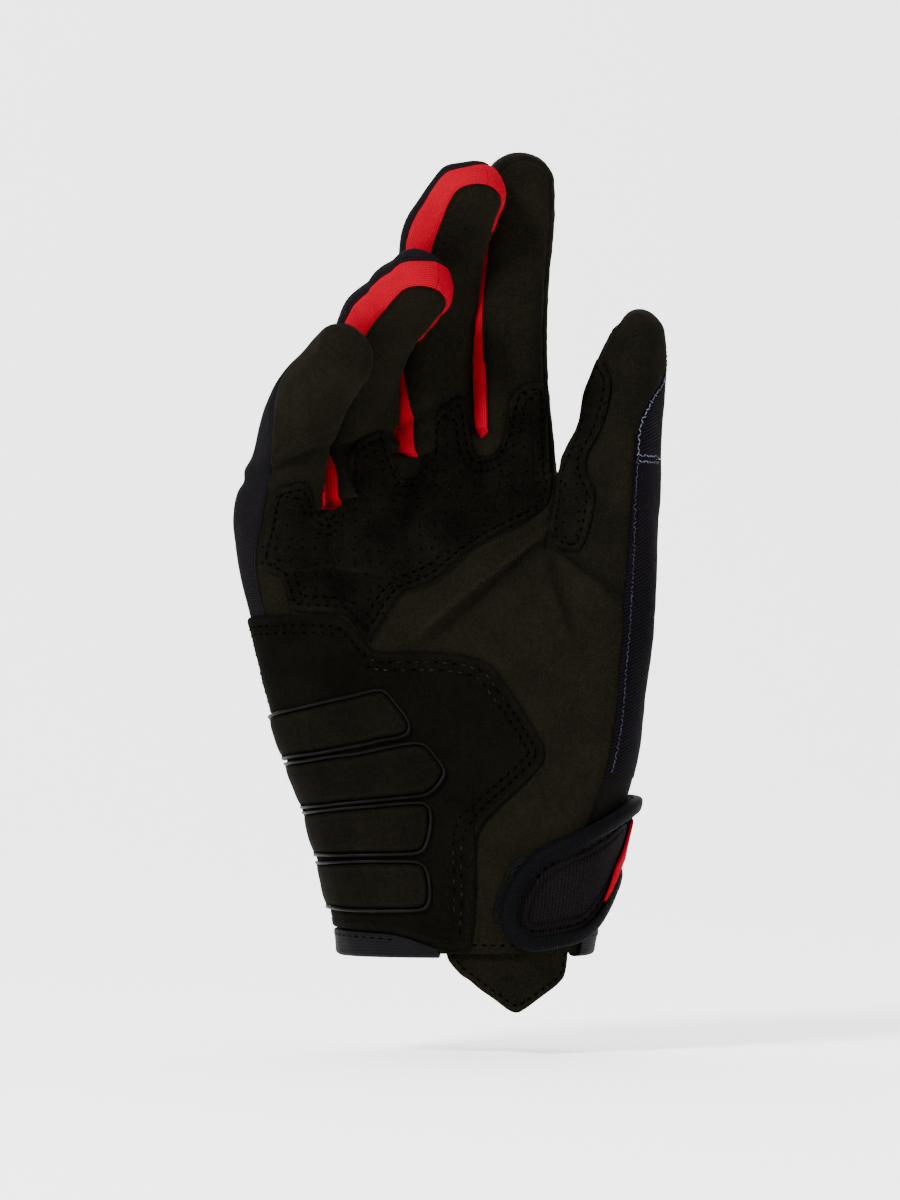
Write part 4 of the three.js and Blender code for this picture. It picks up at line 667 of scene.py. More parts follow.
suedeLook = {"roughness": 0.95, "sheenTint": (0.35, 0.3, 0.2), "specular": 0.02, "bump": 0.6}
looks = {
    "suede": {**suedeLook, "low": (0.0009, 0.0008, 0.0005), "high": (0.0067, 0.0058, 0.0033), "sheen": 0.02},
    "heel": {**suedeLook, "low": (0.0003, 0.0003, 0.0002), "high": (0.0030, 0.0026, 0.0016), "sheen": 0.01},
    "thumb": {**suedeLook, "low": (0.0007, 0.0006, 0.0004), "high": (0.0055, 0.0048, 0.0028), "sheen": 0.015},
    "patch": {**suedeLook, "low": (0.0004, 0.0003, 0.0002), "high": (0.0039, 0.0034, 0.0021), "sheen": 0.01,
              "sheenTint": (0.35, 0.32, 0.25), "holePitch": 3.7, "holeRadius": 0.4, "holeScatter": 0.4},
    "pad": {**suedeLook, "low": (0.0005, 0.0004, 0.0003), "high": (0.0045, 0.0039, 0.0024), "sheen": 0.015},
    "back": {"low": (0.0009, 0.0008, 0.0010), "high": (0.0068, 0.0060, 0.0070), "roughness": 0.9, "sheen": 0.0,
             "sheenTint": (0.3, 0.32, 0.45), "specular": 0.015, "bump": 0.6,
             "turn": 0, "warp": 0.75, "weft": 0.75, "warpShare": 0.5},
    "red": {"low": (0.13, 0.0, 0.004), "high": (0.265, 0.0, 0.0095), "roughness": 0.9, "sheen": 0.0,
            "sheenTint": (1.0, 0.35, 0.35), "specular": 0.01, "bump": 0.35,
            "turn": 0, "warp": 0.6, "weft": 0.45, "warpShare": 0.6},
    "twill": {"low": (0.0003, 0.0002, 0.0004), "high": (0.0038, 0.0029, 0.0040), "roughness": 0.8, "sheen": 0.0,
              "sheenTint": (0.35, 0.33, 0.4), "specular": 0.02, "bump": 0.6,
              "turn": 62, "warp": 0.95, "weft": 0.35, "warpShare": 0.8},
    "gusset": {"low": (0.0006, 0.0006, 0.0005), "high": (0.0042, 0.0038, 0.003), "roughness": 0.9, "sheen": 0.01,
               "sheenTint": (0.3, 0.3, 0.3), "specular": 0.03, "bump": 0.4,
               "turn": 0, "warp": 0.8, "weft": 0.8, "warpShare": 0.5},
    "cuff": {"low": (0.0005, 0.0005, 0.0007), "high": (0.0036, 0.0036, 0.0043), "roughness": 0.75, "sheen": 0.02,
             "sheenTint": (0.35, 0.38, 0.5), "specular": 0.05, "bump": 0.4,
             "turn": 0, "warp": 0.9, "weft": 0.5, "warpShare": 0.7},
    "strap": {"low": (0.0004, 0.0003, 0.0003), "high": (0.0048, 0.0036, 0.0042), "roughness": 0.9, "sheen": 0.02,
              "sheenTint": (0.4, 0.33, 0.38), "specular": 0.03, "bump": 0.7,
              "turn": 0, "warp": 1.1, "weft": 0.7, "warpShare": 0.55},
    "binding": {"low": (0.0001, 0.0001, 0.0002), "high": (0.0011, 0.0012, 0.0017), "roughness": 0.7, "sheen": 0.02,
                "sheenTint": (0.3, 0.33, 0.4), "specular": 0.03, "bump": 0.6,
                "turn": 0, "warp": 0.5, "weft": 0.75, "warpShare": 0.12},
    "hook": {"low": (0.0001, 0.0001, 0.0001), "high": (0.0022, 0.0024, 0.0022), "roughness": 0.7, "sheen": 0.0,
             "sheenTint": (0.3, 0.3, 0.3), "specular": 0.05, "bump": 1.0,
             "turn": 0, "warp": 1.0, "weft": 1.0, "warpShare": 0.5},
    "rim": {"low": (0.0006, 0.0005, 0.0004), "high": (0.0028, 0.0025, 0.0019), "roughness": 0.5, "specular": 0.05},
    "thread": {"low": (0.00015, 0.00015, 0.00012), "high": (0.0009, 0.0008, 0.0006), "roughness": 1.0,
               "specular": 0.0},
    # pale thread for the painted highlight on the heel patch's stitches
    "highlightThread": {"low": (0.002, 0.0018, 0.0014), "high": (0.011, 0.010, 0.0085), "roughness": 0.9,
                   "specular": 0.03},
    "paleThread": {"low": (0.015, 0.016, 0.030), "high": (0.090, 0.095, 0.150), "roughness": 0.7, "specular": 0.15},
    "blueThread": {"low": (0.004, 0.0045, 0.009), "high": (0.020, 0.022, 0.040), "roughness": 0.7, "specular": 0.1},
}
finishes = {}
for key in ("suede", "heel", "thumb", "patch", "pad"):
    finishes[key] = suedeFinish(key + "_suede", looks[key])
finishes["perforated"] = perforatedFinish("perforated_suede", looks["patch"])
for key in ("back", "red", "twill", "gusset", "cuff", "strap", "binding", "hook"):
    finishes[key] = clothFinish(key + "_cloth", looks[key])
for key in ("rim", "thread", "highlightThread", "paleThread", "blueThread"):
    finishes[key] = rubberFinish(key + "_finish", looks[key])
print("glove: finishes ready")


# skin panels
panel = {"cell": 1.0, "faceCells": 24, "wallCells": 18, "tipRows": 16, "palm": 1.4, "back": 1.2, "strip": 1.0,
         "stripNoise": 0.12, "gusset": 1.0, "seamTrim": 0.05, "rollDepth": 0.5, "rollWidth": 0.9,
         "swellShare": 0.46,
         # the seam and crease factors below paint shade into the seam roll and crease valleys and highlight onto
         # crease ridges
         "swellMost": 2.4, "swellGap": 0.04, "swellStart": 0.4, "swellRise": 2.6, "swellEnd": 9, "seamShade": 0.6,
         "creaseShadeAndHighlight": 0.3, "shoulder": 0.3}  # shoulder: share of the half width where an edge begins to turn
backMargin = {"columns": (1, 2), "share": 0.42, "start": 7.0, "rise": 26.0}  # back cloth seen beside the red strips
coverLeast, coverFull = 0.03, 0.15  # wall share where the suede's cover begins, and where it has its own edge
coverFade = {"early": 0.2, "rise": 3.2, "end": 9}  # mm
faceArc, wallArc = 12.6, 15.0  # length of an edge of a face and of a side wall for a share of 1
faceTrim = panel["seamTrim"] / faceArc
wallTrim = panel["seamTrim"] / wallArc
littleWrap = 0.605 * gloveLength
twillFoot = 0.217 * gloveLength
twillSeam = 0.62 * gloveLength
thumbSeamRows = np.array([[-1, 0.5055], [-0.28, 0.488], [0.26, 0.466], [0.56, 0.453], [0.8, 0.438], [1, 0.429]])
thumbWrap = webHeights[index] + webs[index, 1]
bodyTop = max(webHeights[middle] + webs[middle, 1], thumbWrap)


def rowsBetween(low, high, cell=None):
    return np.linspace(low, high, max(int(math.ceil((high - low) / (cell or panel["cell"]))), 1) + 1)


def thumbSeam(side):
    return curve(thumbSeamRows[:, 0], thumbSeamRows[:, 1] * gloveLength, side)


thumbSeamRow = float(thumbSeam(-1.0)) - panel["seamTrim"]
bodyRows = np.concatenate([rowsBetween(0, thumbSeamRow), rowsBetween(thumbSeamRow, bodyTop)[1:]])


def columnRows(k):  # heights of the rows of a finger's column up to its rounded tip, shared below the webs
    if k == little:
        return np.concatenate([bodyRows[bodyRows < littleWrap - 0.3], rowsBetween(littleWrap, bones[k]["top"])])
    return np.concatenate([bodyRows, rowsBetween(bodyTop, bones[k]["top"])[1:]])


def gapTable(web):  # height of the left digit and the space seen between it and the right one
    left, right = bones[web], bones[web + 1]
    rowsLeft = np.linspace(webHeights[web], left["top"], 60)
    a = wallPoint(web, 1, 0.5, rowsLeft)
    rowsRight = np.linspace(webHeights[web], right["top"], 60)
    b = wallPoint(web + 1, -1, 0.5, rowsRight)
    gapA = np.interp(a[:, 2], b[:, 2], b[:, 0]) - a[:, 0]
    gapB = b[:, 0] - np.interp(b[:, 2], a[:, 2], a[:, 0])
    return (rowsLeft, gapA), (rowsRight, gapB)


gaps = [gapTable(web) for web in range(3)]


def swell(k, direction, height):  # cloth of neighbouring fingers fills half of the space between them
    web = k if direction > 0 else k - 1
    if not 0 <= web < 3:
        return 0 * height
    rows, gap = gaps[web][0 if direction > 0 else 1]
    half = np.clip(panel["swellShare"] * np.interp(height, rows, gap) - panel["swellGap"], 0, panel["swellMost"])
    grown = smooth((height - webHeights[web] - panel["swellStart"]) / panel["swellRise"])
    return half * grown * smooth((bones[k]["top"] - height) / panel["swellEnd"])


def roll(distance):  # a sewn edge turns in: bell curve of the distance from it
    return panel["rollDepth"] * np.exp(-(distance / panel["rollWidth"])**2)


# creases where a digit bends: column, height, depth, half width, palm face (1) or back face (-1)
creases = [(little, 0.660, 0.55, 2.2, 1), (little, 0.705, 0.35, 1.6, 1), (ring, 0.735, 0.5, 2.4, 1),
           (ring, 0.79, 0.35, 1.8, 1), (middle, 0.80, 0.35, 2.4, 1), (middle, 0.885, 0.3, 2.0, 1),
           (index, 0.785, 0.22, 2.4, 1), (index, 0.895, 0.2, 2.0, 1), (thumb, 0.705, 0.3, 2.2, 1),
           (ring, 0.70, 0.25, 1.4, -1), (ring, 0.725, 0.25, 1.4, -1), (middle, 0.80, 0.25, 1.4, -1),
           (middle, 0.825, 0.25, 1.4, -1), (little, 0.64, 0.25, 1.4, -1), (index, 0.80, 0.2, 1.4, -1)]


# palm suede seen over the side walls: column, side, share at the web and share grown above it,
# start over the web and rise in mm, height share of the end
frontMargins = [(little, 1, 0.0, 0.8, 6, 14, 0.88), (ring, -1, 0.17, 0.45, 9, 16, 0.765),
                (ring, 1, 0.0, 0.42, 7, 15, 0.825), (middle, -1, 0.14, 0.34, 12, 24, 0.83),
                (middle, 1, 0.0, 0.1, 7, 15, 0.95), (index, -1, 0.0, 0.14, 14, 22, 0.965)]


def coverShare(k, side, height):  # part of a side wall that the palm suede covers
    total = 0 * height
    for column, face, foot, share, start, rise, end in frontMargins:
        if (column, face) == (k, side):
            web = webHeights[min(k, k + side)]
            grown = foot * smooth((height - web + coverFade["early"]) / coverFade["rise"])
            grown = grown + share * smooth((height - web - start) / rise)
            total = total + grown * smooth((end * gloveLength - height) / coverFade["end"])
    return np.minimum(total, 1 - marginShare(k, height) - coverLeast) if side < 0 else total


creaseBend = {"bow": 1.5, "uneven": 0.4, "edgeFade": 0.6}


def skinRelief(points, k, side, height, sign):  # slow unevenness, fine wrinkles and the creases of the digit
    relief = slack(points)
    for column, at, depth, width, face in creases:
        if column == k and face == sign:
            bend = creaseBend["bow"] * np.cos(side * 1.3) + creaseBend["uneven"] * softNoise(points, 7, 5)
            dent = np.exp(-((height - at * gloveLength + bend) / width)**2)
            relief = relief + depth * dent * (1 - creaseBend["edgeFade"] * side**2)
    return relief


def edgeWeights(k, freeLeft, freeRight):  # how free each edge of a column is at a height
    def weight(direction, mode):
        web = k - 1 if direction < 0 else k
        return (lambda h: freedom(web, h)) if mode == "web" else mode
    return weight(-1, freeLeft), weight(1, freeRight)


def faceGrid(k, sign, heights, thickness, freeLeft="web", freeRight="web", tip="none", extra=None):
    cells = panel["faceCells"]
    side = np.linspace(-1, 1, cells + 1)[None, :]
    heights = heights if np.ndim(heights) == 2 else np.repeat(heights[:, None], cells + 1, 1)
    cap = np.zeros_like(heights)
    seam = np.full_like(heights, section["seam"])
    if tip != "none":
        seam[-1] = section["seam"] if tip == "joined" else section["seam"] * (1 - faceTrim)
        turns = np.linspace(0, math.pi / 2, panel["tipRows"] + 1)[1:]
        cap = np.concatenate([cap, seam[-1, 0] * np.sin(turns)[:, None] + np.zeros((1, cells + 1))])
        heights = np.concatenate([heights, np.full((len(turns), cells + 1), bones[k]["top"])])
        seam = np.concatenate([seam, np.full((len(turns), cells + 1), seam[-1, 0])])
    left, right = edgeWeights(k, freeLeft, freeRight)
    atTip = (heights >= bones[k]["top"]) & (tip != "none")
    wLeft, wRight = left(heights) * ~atTip, right(heights) * ~atTip
    sides = np.broadcast_to(side, heights.shape).copy()
    covered = [coverShare(k, direction, heights) * (cap == 0) * (sign > 0) for direction in (-1, 1)]
    sides[:, 0] = -1 + faceTrim * (wLeft[:, 0] > 0) * (covered[0][:, 0] < coverLeast)
    sides[:, -1] = 1 - faceTrim * (wRight[:, -1] > 0) * (covered[1][:, -1] < coverLeast)
    wLeft, wRight = [w * (1 - smooth(c / coverFull)) for w, c in zip((wLeft, wRight), covered)]
    base = facePoint(k, sides, heights, cap, 0.0, sign, seam)
    wide = curve(bones[k]["heights"], bones[k]["rows"][:, 3], np.minimum(heights, bones[k]["top"]))
    relief = skinRelief(base, k, sides, heights, sign)
    across = np.abs(sides) * np.sqrt(np.maximum(seam**2 - cap**2, 0))
    near = (section["seam"] - np.hypot(across, cap)) * wide * 1.25
    if tip == "free":
        wLeft, wRight = np.where(atTip, 1, wLeft), np.where(atTip, 1, wRight)
    seamed = roll(near) * np.where(sides < 0, wLeft, wRight)
    relief = relief + seamed
    for direction in (-1, 1):
        bulge = swell(k, direction, np.minimum(heights, bones[k]["top"])) * (cap == 0)
        relief = relief - bulge * smooth((sides * direction - panel["shoulder"]) / (1 - panel["shoulder"]))
    if extra is not None:
        relief = relief + extra(base, sides, heights)
    outer = facePoint(k, sides, heights, cap, relief, sign, seam)
    inner = facePoint(k, sides, heights, cap, relief + thickness, sign, seam)
    # painted shade in the turned-in seam roll and in crease valleys, painted highlight on crease ridges
    paintedLightAndWear = seamed / panel["rollDepth"] * panel["seamShade"] + creaseRelief(base) * panel["creaseShadeAndHighlight"]
    return makeGrid(outer, inner, sign < 0, np.clip(paintedLightAndWear, -1, 1), (22.0 * k, 0.0))


wrapEnd = 1 - 2 * wallTrim


def wrapShare(k, start, height):
    return smooth((height - start) / (bones[k]["top"] - start)) * wrapEnd


def wallRelief(points, fromLow, fromHigh, width):  # rolls at both edges of a wall
    return slack(points) + roll(fromLow * width) + roll(fromHigh * width)


def wallGrid(point, where, thickness, relief, flip):
    return makeGrid(point(*where, relief), point(*where, relief + thickness), flip)


def wrapGrids(k, side, thickness, start):  # front panel carried round the outer wall and the tip
    rows = rowsBetween(start, bones[k]["top"])[:, None]
    part = np.linspace(0, 1, panel["wallCells"] + 1)[None, :]
    share = wrapShare(k, start, rows) * part
    heights = rows + 0 * share
    base = wallPoint(k, side, share, heights)
    relief = slack(base) + roll((wrapShare(k, start, rows) - share) * wallArc) * smooth((part - 0.3) * 2)
    wall = wallGrid(wallPoint, (k, side, share, heights), thickness, relief, side < 0)
    turns = np.linspace(0, math.pi, 2 * panel["tipRows"] + 1)[:, None] + 0 * part
    share = wrapEnd * part + 0 * turns
    base = tipPoint(k, share, turns)
    relief = slack(base) + roll((wrapEnd - share) * wallArc)
    cap = wallGrid(tipPoint, (k, share, turns), thickness, relief, False)
    return [wall, cap]


def outerWallGrid(k, side, thickness, rows, start, recess=0.0, closed=False):
    rows = rows[:, None]
    part = np.linspace(0, 1, panel["wallCells"] + 1)[None, :]
    wrapped = np.where(rows > start, wrapShare(k, start, rows) + 2 * wallTrim, wallTrim)
    first = np.clip(wrapped, wallTrim, 1)
    last = 1 - wallTrim if closed else 1
    share = first + (last - first) * part
    heights = rows + 0 * share
    base = wallPoint(k, side, share, heights)
    relief = recess + slack(base)
    relief = relief + roll((share - first) * wallArc) + (roll((last - share) * wallArc) if closed else 0)
    return wallGrid(wallPoint, (k, side, share, heights), thickness, relief, side < 0)


def coverGrids(k):  # palm suede carried over the side walls, welded to the front face
    grids = []
    for side in (-1, 1):
        rows = columnRows(k)[:, None]
        rows = rows[coverShare(k, side, rows)[:, 0] >= coverLeast][:, None, 0]
        if not len(rows):
            continue
        part = np.linspace(0, 1, 9)[None, :]
        cover = coverShare(k, side, rows)
        share, heights = cover * part, rows + 0 * part
        base = wallPoint(k, side, share, heights)
        relief = slack(base) - swell(k, side, heights)
        relief = relief + roll(cover * (1 - part) * wallArc) * smooth(cover / coverFull)
        grids.append(wallGrid(wallPoint, (k, side, share, heights), panel["palm"], relief, side > 0))
    return grids


webFree, notFree = np.ones_like, np.zeros_like  # an edge that is free or joined at every height


def seamRoll(base, sides, heights):  # cloth turned in at the seam across the thumb's root
    return roll(np.abs(thumbSeam(sides) - heights))


def buildPalm():
    thickness = panel["palm"]
    grids = [faceGrid(little, 1, columnRows(little), thickness, lambda h: (h < littleWrap) * 1.0, "web", "joined")]
    grids += wrapGrids(little, -1, thickness, littleWrap)
    grids.append(faceGrid(ring, 1, columnRows(ring), thickness, tip="free"))
    grids.append(faceGrid(middle, 1, columnRows(middle), thickness, tip="free"))
    for k in (little, ring, middle, index):
        grids += coverGrids(k)
    grids.append(faceGrid(index, 1, columnRows(index), thickness, "web",
                          lambda h: smooth((h - thumbSeamRow) / 2), "free"))
    side = np.linspace(-1, 1, panel["faceCells"] + 1)[None, :]
    rows = bodyRows[bodyRows <= thumbSeamRow][:, None] * (thumbSeam(side) - panel["seamTrim"]) / thumbSeamRow
    grids.append(faceGrid(thumb, 1, rows, thickness, notFree, webFree, "none", seamRoll))
    return putShell("palm_panel_skin", grids, finishes["suede"], ["palm_panel"])


def buildThumbFront():
    side = np.linspace(-1, 1, panel["faceCells"] + 1)[None, :]
    low = thumbSeam(side) + panel["seamTrim"]
    count = int((webHeights[index] - float(thumbSeam(1.0))) / panel["cell"])
    share = np.linspace(0, 1, count + 1)[:, None]
    rows = low + (webHeights[index] - low) * share
    above = np.concatenate([rowsBetween(webHeights[index], thumbWrap)[1:],
                            rowsBetween(thumbWrap, bones[thumb]["top"])[1:]])
    rows = np.concatenate([rows, np.repeat(above[:, None], side.shape[1], 1)])

    def lowRoll(base, sides, heights):  # only near the root, and not over the tip
        low = (heights < webHeights[index] + 3) & (np.arange(len(heights)) < len(rows))[:, None]
        return seamRoll(base, sides, heights) * low

    grids = [faceGrid(thumb, 1, rows, panel["palm"], webFree, lambda h: (h < thumbWrap) * 1.0, "joined", lowRoll)]
    grids += wrapGrids(thumb, 1, panel["palm"], thumbWrap)
    return putShell("thumb_front_skin", grids, finishes["thumb"], ["thumb_front"])


def buildBack():
    thickness = panel["back"]
    rows = columnRows(little)
    grids = [faceGrid(little, -1, rows, thickness, notFree, "web", "free"),
             outerWallGrid(little, -1, thickness, rows, littleWrap)]
    for k in (ring, middle, index):
        grids.append(faceGrid(k, -1, columnRows(k), thickness, tip="free"))
        if k in backMargin["columns"]:
            grids += marginGrids(k)
    rows = np.concatenate([bodyRows[bodyRows < twillSeam - 0.4], [twillSeam - panel["seamTrim"]]])
    grids.append(faceGrid(thumb, -1, rows, thickness, "web", webFree, "none",
                          lambda base, sides, heights: roll(twillSeam - heights)))
    return putShell("back_panel_skin", grids, finishes["back"], ["back_panel"])


def buildThumbOuter():
    rows = np.concatenate([rowsBetween(twillSeam + panel["seamTrim"], thumbWrap),
                           rowsBetween(thumbWrap, bones[thumb]["top"])[1:]])
    side = outerWallGrid(thumb, 1, panel["back"], rows, thumbWrap)
    face = faceGrid(thumb, -1, rows, panel["back"], webFree, notFree, "free",
                    lambda base, sides, heights: roll(heights - twillSeam))
    putShell("thumb_outer_upper_skin", [side, face], finishes["twill"], ["thumb_outer_upper"])
    rows = rowsBetween(twillFoot, twillSeam - panel["seamTrim"])
    lower = outerWallGrid(thumb, 1, panel["back"], rows, gloveLength, 0.0, True)
    putShell("thumb_outer_lower_skin", [lower], finishes["twill"], ["thumb_outer_lower"])
    rows = rowsBetween(0, twillFoot - 2 * panel["seamTrim"])
    gusset = outerWallGrid(thumb, 1, panel["gusset"], rows, gloveLength, 0.3, True)
    putShell("wrist_gusset_skin", [gusset], finishes["gusset"], ["wrist_gusset"])


# strips between the digits: first digit, how far over the tip of the first and of the second, finish
strips = [
    {"node": "fourchette_ring_little", "first": little, "tips": (0, math.pi / 2), "finish": "red",
     "slot": "red_knit"},
    {"node": "fourchette_middle_ring", "first": ring, "tips": (math.pi / 2, math.pi / 2), "finish": "red",
     "slot": "red_knit"},
    {"node": "fourchette_index_middle", "first": middle, "tips": (math.pi / 2, 0), "finish": "red",
     "slot": "red_knit"},
    {"node": "index_thumb_strip", "first": index, "tips": (math.pi, 0), "finish": "suede", "slot": "suede"},
]


def marginShare(k, height):  # part of the left wall that the back cloth covers
    if k not in backMargin["columns"]:
        return 0 * height
    start = webHeights[k - 1] + backMargin["start"]
    return backMargin["share"] * smooth((height - start) / backMargin["rise"])


def tipMargin(k, turn):  # the same over the tip, gone on its right
    if k not in backMargin["columns"]:
        return 0 * turn
    return backMargin["share"] * smooth(turn / (0.75 * math.pi))


def marginGrids(k):  # back cloth carried over the edge of the left wall and of the tip
    part = np.linspace(0, 1, 9)[None, :]
    rows = rowsBetween(webHeights[k - 1] + backMargin["start"] + 4, bones[k]["top"])[:, None]
    share = 1 - wallTrim - (marginShare(k, rows) - 3 * wallTrim) * (1 - part)
    heights = rows + 0 * share
    base = wallPoint(k, -1, share, heights)
    relief = slack(base) - swell(k, -1, heights) + roll(marginShare(k, rows) * part * wallArc)
    wall = wallGrid(wallPoint, (k, -1, share, heights), panel["back"], relief, True)
    turns = np.linspace(math.pi, 0.12 * math.pi, 2 * panel["tipRows"] + 1)[:, None] + 0 * part
    cover = tipMargin(k, turns)
    share = 1 - wallTrim - np.maximum(cover - 3 * wallTrim, 0.002) * (1 - part)
    base = tipPoint(k, share, turns)
    relief = slack(base) + roll(cover * part * wallArc)
    cap = wallGrid(tipPoint, (k, share, turns), panel["back"], relief, True)
    return [wall, cap]


def buildStrip(strip):  # over the tip of the first digit, down its side, round the web and up the second digit
    web = strip["first"]
    part = np.linspace(0, 1, panel["wallCells"] + 1)[None, :]
    notch = webHeights[web] + webs[web, 1] * np.linspace(0, 1, 13)**2
    grids, travelled = [], 0.0

    def add(point, where, share, fill):
        base = point(*where)
        relief = wallRelief(base, share - share[:, :1], share[:, -1:] - share, wallArc)
        relief = relief + panel["stripNoise"] * softNoise(base, 4.0, 9) - fill
        grid = makeGrid(point(*where, relief), point(*where, relief + panel["strip"]), True, start=(0.0, travelled))
        grids.append(grid)
        return travelled + np.linalg.norm(np.diff(grid["outer"], axis=0), axis=-1).mean(1).sum()

    for k, side, tip, down in ((web, 1, strip["tips"][0], True), (web + 1, -1, strip["tips"][1], False)):
        rows = np.concatenate([notch, rowsBetween(notch[-1], bones[k]["top"] - (0 if tip else 0.3))[1:]])
        rows = (rows[::-1] if down else rows)[:, None]
        trim = panel["seamTrim"] / bones[k]["tip"]
        turnFrom, turnTo = (tip - trim, 0) if down else (math.pi, math.pi - tip + trim)
        turns = np.linspace(turnFrom, turnTo, panel["tipRows"] + 1)[:, None]
        covered = marginShare(k, rows) if side < 0 else 0 * rows
        start = wallTrim + coverShare(k, side, rows)
        wallShare = start + (1 - wallTrim - covered - start) * part
        tipShare = wallTrim + (1 - 2 * wallTrim - tipMargin(k, turns)) * part
        if down and tip:
            travelled = add(tipPoint, (k, tipShare, turns), tipShare, 0)
        travelled = add(wallPoint, (k, side, wallShare, rows), wallShare, swell(k, side, rows))
        if not down and tip:
            travelled = add(tipPoint, (k, tipShare, turns), tipShare, 0)
    return putShell(strip["node"] + "_skin", grids, finishes[strip["finish"]], [strip["node"]])


buildPalm()
buildThumbFront()
buildBack()
buildThumbOuter()
for strip in strips:
    buildStrip(strip)
print("glove: skin panels built")


# overlays: outlines given by rows of station, low and high edge, carried by a surface point function
def lengthAlong(point, path):  # running length in mm of a path of two surface coordinates
    spots = point(path[:, 0], path[:, 1])
    return np.concatenate([[0], np.cumsum(np.linalg.norm(np.diff(spots, axis=0), axis=1))])


def resample(point, path, step):
    run = lengthAlong(point, path)
    even = np.linspace(0, run[-1], max(int(run[-1] / step), 2) + 1)
    return np.column_stack([np.interp(even, run, path[:, 0]), np.interp(even, run, path[:, 1])])


def roundCorners(point, path, radius, closed=True):  # each corner replaced by a quadratic arc
    before, after = np.roll(path, 1, 0), np.roll(path, -1, 0)
    here = point(path[:, 0], path[:, 1])
    back = np.linalg.norm(here - np.roll(here, 1, 0), axis=1)
    ahead = np.roll(back, -1)
    cutBack = np.minimum(radius, 0.45 * back) / np.maximum(back, 1e-6)
    cutAhead = np.minimum(radius, 0.45 * ahead) / np.maximum(ahead, 1e-6)
    if not closed:
        cutBack[[0, -1]] = cutAhead[[0, -1]] = 0
    a = path + (before - path) * cutBack[:, None]
    b = path + (after - path) * cutAhead[:, None]
    t = np.linspace(0, 1, 6)[None, :, None]
    arcs = (1 - t)**2 * a[:, None] + 2 * t * (1 - t) * path[:, None] + t**2 * b[:, None]
    if not closed:
        return np.concatenate([path[:1], arcs[1:-1].reshape(-1, 2), path[-1:]])
    return np.concatenate([arcs.reshape(-1, 2), arcs[0, :1]])


def outlineOf(rows):  # low edge forward, high edge back
    rows = rows[np.argsort(rows[:, 0])]
    return np.concatenate([rows[:, :2], rows[::-1][:, [0, 2]]])


def localScale(point, path):  # mm for a unit of each surface coordinate
    scale = []
    for axis, step in ((0, 1e-3), (1, 1e-2)):
        shift = np.zeros_like(path)
        shift[:, axis] = step
        a, b = path - shift, path + shift
        scale.append(np.linalg.norm(point(b[:, 0], b[:, 1]) - point(a[:, 0], a[:, 1]), axis=1) / (2 * step))
    return np.column_stack(scale)


def inwards(point, path, closed=True):  # unit vectors to the left of a path, in surface coordinates for a mm
    scale = localScale(point, path)
    if closed:
        run = np.roll(path[:-1], -1, 0) - np.roll(path[:-1], 1, 0)
        run = np.concatenate([run, run[:1]])
    else:
        run = np.gradient(path, axis=0)
    run = run * scale
    run = run / np.maximum(np.linalg.norm(run, axis=1, keepdims=True), 1e-9)
    return np.column_stack([-run[:, 1], run[:, 0]]) / scale


def distanceTo(points, line):  # shortest distance from every point to a line of segments
    flat = points.reshape(-1, 3)
    best = np.full(len(flat), 1e9)
    a, span = line[:-1], np.diff(line, axis=0)
    size = np.maximum((span**2).sum(1), 1e-9)
    for part in np.array_split(np.arange(len(flat)), max(len(flat) // 4000, 1)):
        away = flat[part][:, None] - a[None]
        t = np.clip((away * span).sum(2) / size, 0, 1)
        best[part] = np.sqrt(((away - t[..., None] * span)**2).sum(2)).min(1)
    return best.reshape(points.shape[:-1])


def bandColumns(outline, cell, point):  # stations across the outline with the low and high edge at each
    start, end = outline[:, 0].argmin(), outline[:, 0].argmax()
    turned = np.roll(outline[:-1], -start, 0)
    cut = (end - start) % (len(outline) - 1)
    low, high = turned[:cut + 1], np.concatenate([turned[cut:], turned[:1]])[::-1]
    spine = np.column_stack([np.linspace(turned[0, 0], turned[cut, 0], 200), np.full(200, outline[:, 1].mean())])
    even = resample(point, spine, cell)[:, 0]
    stations = np.sort(np.concatenate([even, low[:, 0], high[:, 0]]))
    nearest = np.concatenate([[True], np.diff(stations) > (stations[-1] - stations[0]) * 1e-3])
    stations = stations[nearest]
    lows = np.interp(stations, np.maximum.accumulate(low[:, 0]), low[:, 1])
    highs = np.interp(stations, np.maximum.accumulate(high[:, 0]), high[:, 1])
    return stations, lows, highs


def heightPoint(height, place, inset=0.0):  # palmPoint with the height first
    return palmPoint(place, height, inset)


def outlineFrom(look, point):  # rows of station, low and high edge, heights as shares of the length
    scale = (gloveLength, 1, 1) if point is heightPoint else (1, gloveLength, gloveLength)
    return roundCorners(point, outlineOf(np.array(look["rows"]) * scale), look["corner"])


# puff run, width of the painted shade at the edge, place and width of the band of edge wear, spread of the painted
# shade in stitch grooves
bandEdge = {"puffRun": 3, "edgeShadeWidth": 0.8, "wearPlace": 1.1, "wearWidth": 0.6, "grooveSpread": 1.6}


